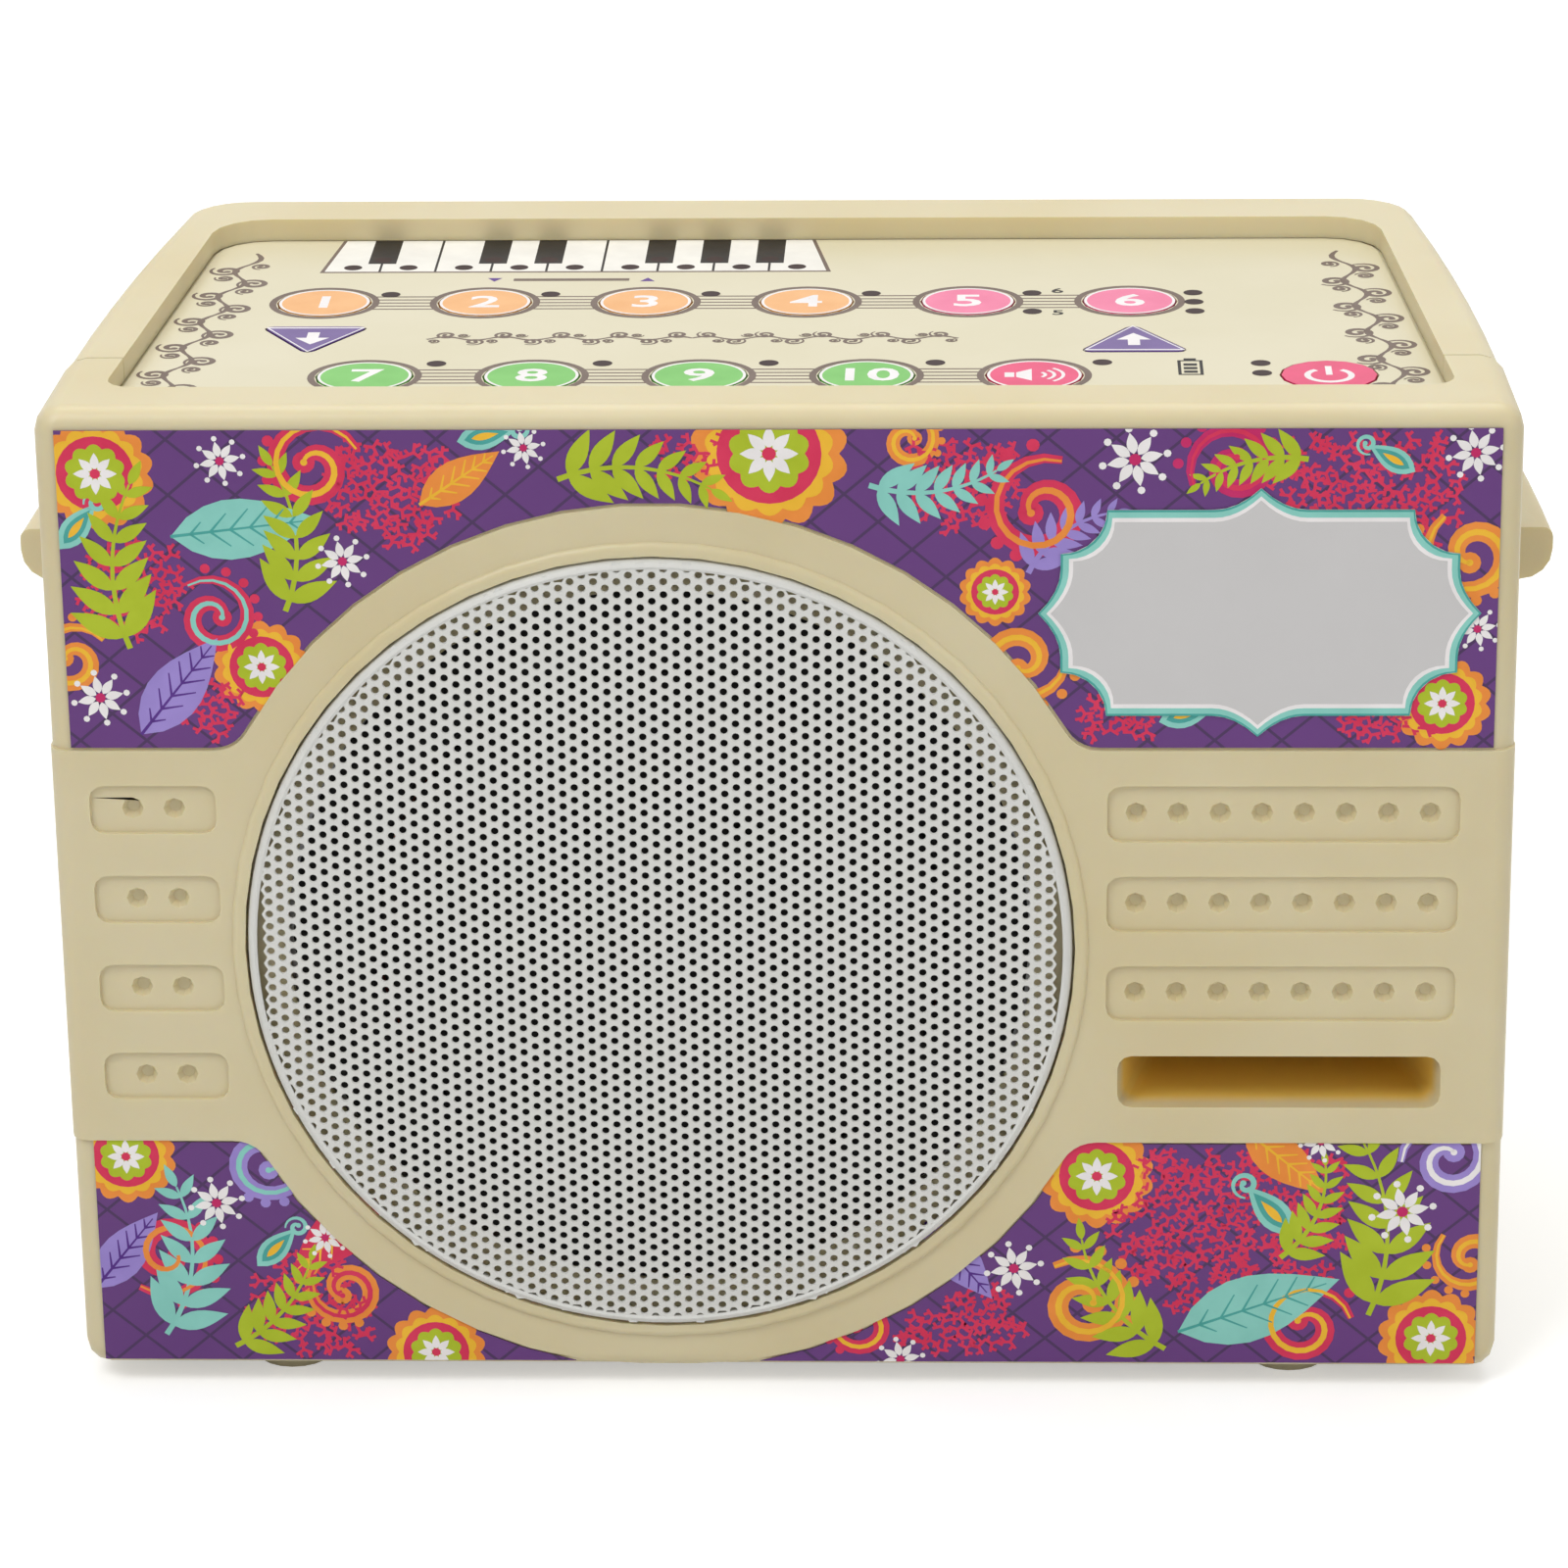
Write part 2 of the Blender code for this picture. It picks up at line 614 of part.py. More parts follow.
def lead(name, route, radius, finish):
    """Flexible lead along a smooth curve through its route's places."""
    places = [at(*stop) for stop in route]
    places = [places[0] * 2 - places[1]] + places + [places[-1] * 2 - places[-2]]
    points = []
    for i in range(1, len(places) - 2):
        before, start, end, after = places[i - 1:i + 3]
        steps = max(1, round((end - start).length / (6 * radius)))
        for step in range(steps):
            t = step / steps
            points.append(0.5 * (
                2 * start + (end - before) * t
                + (2 * before - 5 * start + 4 * end - after) * t ** 2
                + (3 * start - before - 3 * end + after) * t ** 3
            ))
    points.append(places[-2])
    curve = bpy.data.curves.new(name, "CURVE")
    curve.dimensions = "3D"
    curve.bevel_depth = radius
    curve.bevel_resolution = 2
    curve.use_fill_caps = True
    spline = curve.splines.new("POLY")
    spline.points.add(len(points) - 1)
    for point, co in zip(spline.points, points):
        point.co = (*co, 1)
    mesh = mesh_of_curve(curve)
    smooth(mesh)
    return place(name, mesh, finish)


def screw(name, head, direction, length, finish=ZINC, shank=SCREW_SHANK_RADIUS):
    """Pan-head screw whose head faces a direction, from the plane under its head."""
    top = SCREW_HEAD_HEIGHT
    profile = [(0, top), (SCREW_HEAD_RADIUS * 0.7, top), (SCREW_HEAD_RADIUS, top / 2), (SCREW_HEAD_RADIUS, 0)]
    profile += [(shank, 0), (shank, -length), (0, -length)]
    return turned(name, profile, head, direction, finish, SCREW_STEPS)


# Outlines of the case

def front_half_width(depth):
    return mix(FRONT_WIDTH, FRONT_SEAM_WIDTH, depth / SEAM_DEPTH) / 2


def rear_half_width(depth):
    """Half the rear shell's width, which narrows to the back on a slight bow."""
    share = (depth - SEAM_DEPTH) / (BODY_DEPTH - SEAM_DEPTH)
    return mix(REAR_SEAM_WIDTH, BACK_WIDTH, share) / 2 + 4 * SIDE_BOW * share * (1 - share)


def side_line(start, end, offset, steps=5):
    """Places along the right side, this far outside it."""
    depths = [mix(start, end, i / steps) for i in range(steps + 1)]
    return [(rear_half_width(depth) + offset, depth) for depth in depths]


def side_strip(side, start, end, inner, outer):
    """Strip that follows one side of the rear shell."""
    outline = side_line(start, end, outer) + side_line(start, end, inner)[::-1]
    return [(side * x, depth) for x, depth in outline]


def rear_outline(front, wall, back_wall, radius):
    """The rear shell from above, inset by its walls."""
    back = BODY_DEPTH - back_wall
    side = side_line(front, back - radius, -wall)
    corner_x = side[-1][0] - radius
    turn = arc((corner_x, back - radius), radius, 0, math.pi / 2, steps=6)
    right = side[:-1] + turn
    return right + [(-x, depth) for x, depth in right[::-1]]


def recess_outline(grow):
    """The control panel's recess from above."""
    half_front, half_back = RECESS_FRONT_WIDTH / 2 + grow, RECESS_BACK_WIDTH / 2 + grow
    front, back = RECESS_FRONT - grow, RECESS_BACK + grow
    corners = [(-half_front, front), (half_front, front), (half_back, back), (-half_back, back)]
    front_radius, back_radius = RECESS_FRONT_RADIUS + grow, RECESS_BACK_RADIUS + grow
    return rounded(corners, [front_radius, front_radius, back_radius, back_radius])


def shoulder(level, side, grow):
    """Fillet from a straight edge of the land to its round part, and its end angle on the circle."""
    above = 1 if level > RING_HEIGHT else -1
    fillet = LAND_FILLET - grow
    reach = LAND_RADIUS + grow + fillet
    rise = level + above * (grow + fillet) - RING_HEIGHT
    run = side * math.sqrt(reach ** 2 - rise ** 2)
    centre = (RING_X + run, RING_HEIGHT + rise)
    end = math.atan2(-rise, -run)
    start = -above * math.pi / 2
    if end - start > math.pi:
        end -= 2 * math.pi
    if start - end > math.pi:
        end += 2 * math.pi
    return arc(centre, fillet, start, end, steps=5), math.atan2(rise, run)


def land_outline():
    """The raised land in front view: a band across the front with a round part about the speaker."""
    edge = FRONT_WIDTH
    outline = [(edge, LAND_LOW), (edge, LAND_HIGH)]
    right, start = shoulder(LAND_HIGH, 1, 0)
    left, end = shoulder(LAND_HIGH, -1, 0)
    outline += right + arc((RING_X, RING_HEIGHT), LAND_RADIUS, start, end)[1:-1] + left[::-1]
    outline += [(-edge, LAND_HIGH), (-edge, LAND_LOW)]
    left, start = shoulder(LAND_LOW, -1, 0)
    right, end = shoulder(LAND_LOW, 1, 0)
    return outline + left + arc((RING_X, RING_HEIGHT), LAND_RADIUS, start, end)[1:-1] + right[::-1]


# Casing

def front_body(name, grow, start, finish=None):
    """Solid front of the case with rounded edges, between a depth and the seam."""
    outline = rectangle(0, BODY_HEIGHT / 2, (FRONT_WIDTH, BODY_HEIGHT), FRONT_CORNER_RADIUS, steps=3)
    made = prism(name, [outline], start, SEAM_DEPTH, "front", finish)
    front = at(0, start, 0).y
    round_edges(made, lambda a, b: max(a.y, b.y) < front + NEAR, EDGE_RADIUS, 3)
    for vertex in made.data.vertices:
        share = front_half_width(vertex.co.y + MIDDLE_DEPTH) / (FRONT_WIDTH / 2)
        vertex.co.x *= share * (1 + grow / FRONT_WIDTH * 2)
    return made


def cut_pads(shell):
    """Sinks the pads into the land, and the dimples into the pads."""
    floor = PAD_DEPTH - LAND_PROUD
    outlines = []
    starts = []
    for x, top, size, pads, dimples in (
        (LEFT_PAD_X, LEFT_PAD_TOP, LEFT_PAD_SIZE, LEFT_PADS, LEFT_DIMPLES),
        (RIGHT_PAD_X, RIGHT_PAD_TOP, RIGHT_PAD_SIZE, RIGHT_PADS, RIGHT_DIMPLES),
    ):
        first = x - (dimples - 1) / 2 * DIMPLE_PITCH
        for row in range(pads):
            height = top - row * PAD_PITCH
            outlines.append(rectangle(x, height, size, PAD_CORNER_RADIUS, steps=3))
            starts += [(first + i * DIMPLE_PITCH, floor - OVERLAP, height) for i in range(dimples)]
    cut(shell, prism("pads", outlines, -PAST, floor, "front"))
    slope = (DIMPLE_RADIUS - DIMPLE_FLOOR_RADIUS) / DIMPLE_DEPTH
    wide = DIMPLE_RADIUS + slope * OVERLAP
    length = DIMPLE_DEPTH + OVERLAP
    cut(shell, rods("dimples", starts, length, wide, "back", steps=8, end_radius=DIMPLE_FLOOR_RADIUS))


def add_port(shell):
    """Flared port with its duct behind the front wall."""
    half_x, half_z = PORT_SIZE[0] / 2 + PORT_WALL, PORT_SIZE[1] / 2 + PORT_WALL
    low = (RIGHT_PAD_X - half_x, FRONT_WALL - OVERLAP, PORT_HEIGHT - half_z)
    high = (RIGHT_PAD_X + half_x, PORT_LENGTH, PORT_HEIGHT + half_z)
    add(shell, boxes("port_duct", [(low, high)]))
    mouth = rectangle(RIGHT_PAD_X, PORT_HEIGHT, PORT_SIZE, PORT_CORNER_RADIUS, steps=3)
    flare = prism("port_flare", [mouth], -LAND_PROUD - PAST, PORT_LENGTH + PAST, "front")
    back = at(0, PORT_LENGTH + PAST, 0).y
    for vertex in flare.data.vertices:
        if vertex.co.y > back - NEAR:
            centre = at(RIGHT_PAD_X, 0, PORT_HEIGHT)
            vertex.co.x = mix(centre.x, vertex.co.x, PORT_INNER_SIZE[0] / PORT_SIZE[0])
            vertex.co.z = mix(centre.z, vertex.co.z, PORT_INNER_SIZE[1] / PORT_SIZE[1])
    cut(shell, flare)


def case_post_places(depth):
    return [(side * CASE_POST_X, depth, height) for side in (-1, 1) for height in CASE_POST_HEIGHTS]


def speaker_screw_places(depth):
    reach = SPEAKER_SCREW_CIRCLE * math.sqrt(0.5)
    return [(RING_X + i * reach, depth, RING_HEIGHT + j * reach) for i in (-1, 1) for j in (-1, 1)]


def make_front_shell(recess):
    """Front moulding: face, land, collar, port, speaker bosses and long posts for the case screws."""
    shell = front_body("front_shell", 0, 0, CREAM)
    land = front_body("land", LAND_SIDE_PROUD, -LAND_PROUD)
    keep(land, prism("land_outline", [land_outline()], -PAST, SEAM_DEPTH - LAND_SETBACK, "front"))
    add(shell, land)
    seat = GRILLE_RADIUS + GRILLE_CLEARANCE
    top = LAND_PROUD + COLLAR_PROUD
    bead = (COLLAR_RADIUS - seat) / 2
    bead_top = [
        (seat + bead + bead * math.sin(angle), top - COLLAR_PROUD * (1 - math.cos(angle)))
        for angle in (0, math.radians(35), math.radians(65), math.radians(90))
    ]
    inner = seat - COLLAR_LAP
    profile = [(inner, top)] + bead_top + [(COLLAR_RADIUS, -OVERLAP), (inner, -OVERLAP)]
    add(shell, turned("collar", profile, (RING_X, 0, RING_HEIGHT), "front", steps=ROUND_STEPS))
    inside = FRONT_SEAM_WIDTH / 2 - WALL
    hollow = ((-inside, FRONT_WALL, WALL), (inside, SEAM_DEPTH + PAST, BODY_HEIGHT - TOP_WALL))
    cut(shell, boxes("front_hollow", [hollow]))
    centre = (RING_X, -LAND_PROUD - PAST, RING_HEIGHT)
    through = LAND_PROUD + PAST + FRONT_WALL + PAST
    cut(shell, rods("speaker_hole", [centre], through, SPEAKER_HOLE_RADIUS, "back", steps=ROUND_STEPS))
    sunk = LAND_PROUD + PAST + GRILLE_SEAT_DEPTH
    cut(shell, rods("grille_seat", [centre], sunk, seat, "back", steps=ROUND_STEPS))
    add_port(shell)
    cut_pads(shell)
    cut(shell, recess)
    rail_back = RECESS_FRONT - GAP
    rail_top = PLATE_BOTTOM - GAP
    low = (-FRONT_RAIL_LENGTH / 2, FRONT_WALL - OVERLAP, rail_top - RAIL_HEIGHT)
    add(shell, boxes("front_rail", [(low, (FRONT_RAIL_LENGTH / 2, rail_back, rail_top))]))
    post_end = BODY_DEPTH - BACK_WALL - GAP
    starts = case_post_places(FRONT_WALL - OVERLAP)
    length = post_end - FRONT_WALL + OVERLAP
    add(shell, rods("case_posts", starts, length, CASE_POST_RADIUS, "back", steps=POST_STEPS))
    starts = case_post_places(post_end + PAST)
    pilot = SCREW_SHANK_RADIUS + GAP
    cut(shell, rods("case_pilots", starts, CASE_SCREW_LENGTH + PAST, pilot, "front", steps=SCREW_STEPS))
    boss_end = FLANGE_FRONT - GAP
    starts = speaker_screw_places(FRONT_WALL - OVERLAP)
    length = boss_end - FRONT_WALL + OVERLAP
    add(shell, rods("speaker_bosses", starts, length, SPEAKER_BOSS_RADIUS, "back", steps=POST_STEPS))
    starts = speaker_screw_places(boss_end + PAST)
    length = SPEAKER_SCREW_LENGTH - FLANGE_THICKNESS + PAST
    cut(shell, rods("speaker_pilots", starts, length, pilot, "front", steps=SCREW_STEPS))
    return shell


def make_rear_shell(recess):
    """Rear moulding: tapered box with side grips, plate rails, board posts and the jack pocket."""
    front = SEAM_DEPTH + GAP
    outline = rear_outline(front, 0, 0, BACK_CORNER_RADIUS)
    shell = prism("rear_shell", [outline], 0, BODY_HEIGHT, "above", CREAM)
    seam = at(0, front, 0).y
    round_edges(shell, lambda a, b: abs(a.z - b.z) < NEAR and max(a.y, b.y) > seam + NEAR, EDGE_RADIUS, 3)
    hollow = rear_outline(front - PAST, WALL, BACK_WALL, BACK_CORNER_RADIUS - WALL)
    cut(shell, prism("rear_hollow", [hollow], WALL, BODY_HEIGHT - TOP_WALL, "above"))
    cut(shell, recess)
    rail_top = PLATE_BOTTOM - GAP
    for side, word in ((-1, "left"), (1, "right")):
        start = front + GRIP_START
        strip = side_strip(side, start, start + GRIP_LENGTH, -WALL / 2, GRIP_REACH)
        grip = prism("grip_" + word, [strip], GRIP_LOW, GRIP_HIGH, "above")
        shape_grip(grip, side)
        add(shell, grip)
        strip = side_strip(side, start, RECESS_BACK, -WALL - RAIL_WIDTH, -WALL / 2)
        add(shell, prism("rail_" + word, [strip], rail_top - RAIL_HEIGHT, rail_top, "above"))
    add_jack_pocket(shell)
    post_start = BODY_DEPTH - BACK_WALL + OVERLAP
    starts = [(x, post_start, height) for x, height in MAIN_POSTS]
    length = post_start - MAIN_BOARD_BACK - GAP
    add(shell, rods("main_posts", starts, length, MAIN_POST_RADIUS, "front", steps=POST_STEPS))
    starts = [(x, MAIN_BOARD_BACK + GAP - PAST, height) for x, height in MAIN_POSTS[:2]]
    pilot = SMALL_SCREW_RADIUS + GAP
    cut(shell, rods("main_pilots", starts, SMALL_SCREW_LENGTH + PAST, pilot, "back", steps=SCREW_STEPS))
    starts = [(x, MAIN_BOARD_BACK + GAP + OVERLAP, height) for x, height in MAIN_POSTS[2:]]
    peg = BOARD_THICKNESS + GAP + OVERLAP + GAP
    add(shell, rods("main_pegs", starts, peg, SMALL_SCREW_RADIUS, "front", steps=SCREW_STEPS))
    starts = case_post_places(BODY_DEPTH + PAST)
    head = SCREW_HEAD_RADIUS + GAP
    cut(shell, rods("counterbores", starts, COUNTERBORE_DEPTH + PAST, head, "front", steps=16))
    hole = SCREW_SHANK_RADIUS + GAP
    cut(shell, rods("case_holes", starts, BACK_WALL + 2 * PAST, hole, "front", steps=SCREW_STEPS))
    add(shell, boxes("battery_ribs", battery_rib_spans()))
    return shell


def shape_grip(grip, side):
    """Rounds a side grip's outer edges, the lower one more than the upper one."""
    def outer_at(level):
        def chosen(*ends):
            return all(
                side * end.x > rear_half_width(end.y + MIDDLE_DEPTH) + GRIP_REACH - NEAR
                and abs(end.z - level) < NEAR
                for end in ends
            )
        return chosen

    for height, radius in ((GRIP_LOW, GRIP_LOWER_RADIUS), (GRIP_HIGH, GRIP_TOP_RADIUS)):
        round_edges(grip, outer_at(at(0, 0, height).z), radius, 4)


def add_jack_pocket(shell):
    """Pocket in the back wall, so that the jacks' nuts stay inside the case's outline."""
    width, height = JACK_POCKET_SIZE
    half_x, half_z = width / 2 + BACK_WALL, height / 2 + BACK_WALL
    low = (JACK_POCKET_X - half_x, JACK_WALL_FRONT, JACK_HEIGHT - half_z)
    high = (JACK_POCKET_X + half_x, BODY_DEPTH - BACK_WALL + OVERLAP, JACK_HEIGHT + half_z)
    add(shell, boxes("pocket_block", [(low, high)]))
    outline = rectangle(JACK_POCKET_X, JACK_HEIGHT, JACK_POCKET_SIZE, PAD_CORNER_RADIUS)
    cut(shell, prism("pocket", [outline], POCKET_FLOOR, BODY_DEPTH + PAST, "front"))
    length = BACK_WALL + 2 * PAST
    for name, x, radius in (
        ("phone_hole", PHONE_JACK_X, PHONE_BUSHING_RADIUS),
        ("power_hole", POWER_JACK_X, POWER_BARREL_RADIUS),
    ):
        start = (x, JACK_WALL_FRONT - PAST, JACK_HEIGHT)
        cut(shell, rods(name, [start], length, radius + GAP, "back", steps=20))


def battery_size():
    """Length, depth and height of the pack of two cells."""
    return BATTERY_LENGTH, 4 * BATTERY_CELL_RADIUS, 2 * BATTERY_CELL_RADIUS


def battery_rib_spans():
    """Ribs on the floor that hold the pack at its four sides."""
    x, depth = BATTERY_CENTRE
    half_x, half_y = battery_size()[0] / 2 + GAP, battery_size()[1] / 2 + GAP
    low, high = WALL - OVERLAP, WALL + BATTERY_RIB_HEIGHT
    half_rib = BATTERY_RIB_LENGTH / 2
    thick = BATTERY_RIB_THICKNESS
    return [
        ((x - half_x - thick, depth - half_rib, low), (x - half_x, depth + half_rib, high)),
        ((x + half_x, depth - half_rib, low), (x + half_x + thick, depth + half_rib, high)),
        ((x - half_rib, depth - half_y - thick, low), (x + half_rib, depth - half_y, high)),
        ((x - half_rib, depth + half_y, low), (x + half_rib, depth + half_y + thick, high)),
    ]


def make_feet():
    for word_depth, depth in zip(("front", "back"), FOOT_DEPTHS):
        for word_side, side in (("left", -1), ("right", 1)):
            top = FOOT_HEIGHT - FILM_GAP
            profile = [(0, top), (FOOT_RADIUS, top), (FOOT_RADIUS, top / 2), (FOOT_TIP_RADIUS, 0), (0, 0)]
            centre = (side * FOOT_X, depth, -FOOT_HEIGHT)
            turned(f"foot_{word_depth}_{word_side}", profile, centre, "up", RUBBER, 20)


def make_case_screws():
    for i, head in enumerate(case_post_places(BODY_DEPTH - COUNTERBORE_DEPTH + GAP), 1):
        screw(f"case_screw_{i}", head, "back", CASE_SCREW_LENGTH)


# Labels

def upper_label_outline():
    right, start = shoulder(LAND_HIGH, 1, LABEL_CLEARANCE)
    left, end = shoulder(LAND_HIGH, -1, LABEL_CLEARANCE)
    bend = arc((RING_X, RING_HEIGHT), LAND_RADIUS + LABEL_CLEARANCE, start, end)
    low = LAND_HIGH + LABEL_CLEARANCE
    half = LABEL_HALF_WIDTH
    outline = [(half, LABEL_TOP), (half, low)] + right + bend[1:-1] + left[::-1]
    return outline + [(-half, low), (-half, LABEL_TOP)]


def lower_label_outline(side):
    """Label below the land, at one side of its round part."""
    bend, start = shoulder(LAND_LOW, side, LABEL_CLEARANCE)
    radius = LAND_RADIUS + LABEL_CLEARANCE
    drop = math.asin((LABEL_BOTTOM - RING_HEIGHT) / radius)
    end = drop if side > 0 else -math.pi - drop
    round_part = arc((RING_X, RING_HEIGHT), radius, start, end)
    high = LAND_LOW - LABEL_CLEARANCE
    edge = side * LABEL_HALF_WIDTH
    return [(edge, LABEL_BOTTOM), (edge, high)] + bend + round_part[1:]


def plaque_outline():
    """Plaque with hollowed corners and a tip with hollow flanks in the middle of each side."""
    x, height = PLAQUE_CENTRE
    half_x, half_z = PLAQUE_SIZE[0] / 2, PLAQUE_SIZE[1] / 2
    shares = [1 - i / PLAQUE_FLANK_STEPS for i in range(PLAQUE_FLANK_STEPS + 1)]
    side = [(half_x + PLAQUE_TIP * share ** 2, PLAQUE_TIP_HALF * (1 - share)) for share in shares]
    notch = arc((half_x, half_z), PLAQUE_NOTCH_RADIUS, -math.pi / 2, -math.pi, steps=5)
    over = [(PLAQUE_TIP_HALF * (1 - share), half_z + PLAQUE_TIP * share ** 2) for share in shares[::-1]]
    quarter = side + notch + over
    outline = []
    for across, along, way in ((1, 1, 1), (-1, 1, -1), (-1, -1, 1), (1, -1, -1)):
        outline += [(x + across * a, height + along * b) for a, b in quarter[::way][:-1]]
    return outline


def make_labels():
    front, back = -FILM_GAP - LABEL_THICKNESS, -FILM_GAP
    prism("upper_label", [upper_label_outline()], front, back, "front", LABEL_PRINT)
    prism("lower_label_left", [lower_label_outline(-1)], front, back, "front", LABEL_PRINT)
    prism("lower_label_right", [lower_label_outline(1)], front, back, "front", LABEL_PRINT)
    plaque_back = front - FILM_GAP
    plaque_front = plaque_back - LABEL_THICKNESS
    prism("name_plaque", [plaque_outline()], plaque_front, plaque_back, "front", PLAQUE_PRINT)


# Grille

def grille_path():
    """Half section of the domed grille, from its rolled edge to its crown."""
    edge = GRILLE_RADIUS - GRILLE_SHEET / 2
    roll = [(edge, GAP - GRILLE_SEAT_DEPTH), (edge, GRILLE_ROLL / 4), (edge - GRILLE_ROLL / 2, GRILLE_ROLL)]
    dome = edge - 2 * GRILLE_ROLL
    crown = GRILLE_RISE - GRILLE_SHEET / 2
    start = GRILLE_ROLL * 1.35
    return roll + [(dome * share, crown - (crown - start) * share ** 2) for share in (1.0, 0.66, 0.33, 0.0)]


def make_grille():
    section = sheet(grille_path(), GRILLE_SHEET)
    turned("speaker_grille", section, (RING_X, 0, RING_HEIGHT), "front", GRILLE_PAINT, ROUND_STEPS)


# Control panel

def key_places():
    """Name, x, depth and finish of each round key."""
    keys = []
    for i in range(ROW_1_KEYS):
        finish = ORANGE_KEY if i < 4 else PINK_KEY
        keys.append((f"key_back_row_{i + 1}", ROW_1_X + i * KEY_PITCH, ROW_1_DEPTH, finish))
    for i in range(ROW_2_KEYS):
        finish = GREEN_KEY if i < 4 else MAGENTA_KEY
        keys.append((f"key_front_row_{i + 1}", ROW_2_X + i * KEY_PITCH, ROW_2_DEPTH, finish))
    return keys + [("key_power", *POWER_KEY, MAGENTA_KEY)]


def light_places():
    """X and depth of each indicator light."""
    lights = []
    for i, count in enumerate(ROW_1_LIGHT_COUNTS):
        x, depth = ROW_1_X + i * KEY_PITCH + ROW_1_LIGHT[0], ROW_1_DEPTH + ROW_1_LIGHT[1]
        step = LIGHT_STEP if count == 3 else 2 * LIGHT_STEP
        lights += [(x, depth - j * step) for j in range(count)]
    for i in range(ROW_2_KEYS):
        lights.append((ROW_2_X + i * KEY_PITCH + ROW_2_LIGHT[0], ROW_2_DEPTH + ROW_2_LIGHT[1]))
    lights += [(WHITE_LIGHT_X + i * WHITE_LIGHT_PITCH, WHITE_LIGHT_DEPTH) for i in range(WHITE_LIGHTS)]
    lights += [(WHITE_LIGHT_X + i * WHITE_LIGHT_PITCH, BLACK_LIGHT_DEPTH) for i in BLACK_LIGHT_PLACES]
    return lights + [(BATTERY_LIGHT[0], BATTERY_LIGHT[1] - i * LIGHT_STEP) for i in range(BATTERY_LIGHTS)]


def arrow_outline(centre, way, grow):
    """Triangle that points to the back for way 1 and to the front for way -1."""
    x, depth = centre
    slope = math.hypot(ARROW_WIDTH / 2, ARROW_LENGTH)
    base = ARROW_LENGTH / 2 + grow
    tip = ARROW_LENGTH / 2 + grow * slope / (ARROW_WIDTH / 2)
    half = (base + tip) * ARROW_WIDTH / 2 / ARROW_LENGTH
    corners = [(x - way * half, depth - way * base), (x + way * half, depth - way * base)]
    corners += [(x, depth + way * tip)]
    return rounded(corners, [ARROW_CORNER_RADIUS + grow] * 3, steps=3)


def key_hole_outlines():
    holes = [circle(x, depth, KEY_RADIUS + KEY_CLEARANCE, KEY_STEPS) for _, x, depth, _ in key_places()]
    return holes + [arrow_outline(DOWN_KEY, -1, KEY_CLEARANCE), arrow_outline(UP_KEY, 1, KEY_CLEARANCE)]


def make_panel():
    """Plate under the recess, with its posts, and the printed overlay on it."""
    holes = key_hole_outlines()
    outlines = [recess_outline(PLATE_MARGIN)] + holes
    plate = prism("panel_plate", outlines, PLATE_BOTTOM, PLATE_TOP, "above", CREAM)
    starts = [(x, depth, PLATE_BOTTOM - PAST) for x, depth in light_places()]
    length = PLATE_THICKNESS + 2 * PAST
    cut(plate, rods("light_holes", starts, length, LIGHT_HOLE_RADIUS, "up", steps=LIGHT_STEPS))
    starts = [(x, depth, PLATE_BOTTOM + OVERLAP) for x, depth in KEYPAD_POSTS]
    length = PLATE_BOTTOM - KEYPAD_BOARD_TOP - GAP + OVERLAP
    add(plate, rods("keypad_posts", starts, length, KEYPAD_POST_RADIUS, "down", steps=POST_STEPS))
    starts = [(x, depth, KEYPAD_BOARD_TOP + GAP - PAST) for x, depth in KEYPAD_POSTS[:2]]
    pilot = SMALL_SCREW_RADIUS + GAP
    length = SMALL_SCREW_LENGTH + PAST
    cut(plate, rods("keypad_pilots", starts, length, pilot, "up", steps=SCREW_STEPS))
    starts = [(x, depth, KEYPAD_BOARD_TOP + GAP + OVERLAP) for x, depth in KEYPAD_POSTS[2:]]
    peg = BOARD_THICKNESS + GAP + OVERLAP + GAP
    add(plate, rods("keypad_pegs", starts, peg, SMALL_SCREW_RADIUS, "down", steps=SCREW_STEPS))
    overlay = [recess_outline(-OVERLAY_INSET)] + holes
    prism("panel_overlay", overlay, PLATE_TOP + FILM_GAP, OVERLAY_TOP, "above", OVERLAY_PRINT)


def make_keys():
    rim = KEY_RADIUS + KEY_FLANGE
    shelf = KEY_BOTTOM + KEY_FLANGE_THICKNESS
    for name, x, depth, finish in key_places():
        profile = [(0, KEY_TOP), (KEY_RADIUS, KEY_TOP), (KEY_RADIUS, shelf), (rim, shelf), (rim, KEY_BOTTOM)]
        turned(name, profile + [(0, KEY_BOTTOM)], (x, depth, 0), "up", finish, KEY_STEPS)
    for name, centre, way in (("key_down", DOWN_KEY, -1), ("key_up", UP_KEY, 1)):
        key = prism(name, [arrow_outline(centre, way, 0)], KEY_BOTTOM + OVERLAP, KEY_TOP, "above", PURPLE_KEY)
        flange = [arrow_outline(centre, way, KEY_FLANGE)]
        add(key, prism(name + "_flange", flange, KEY_BOTTOM, shelf, "above"))


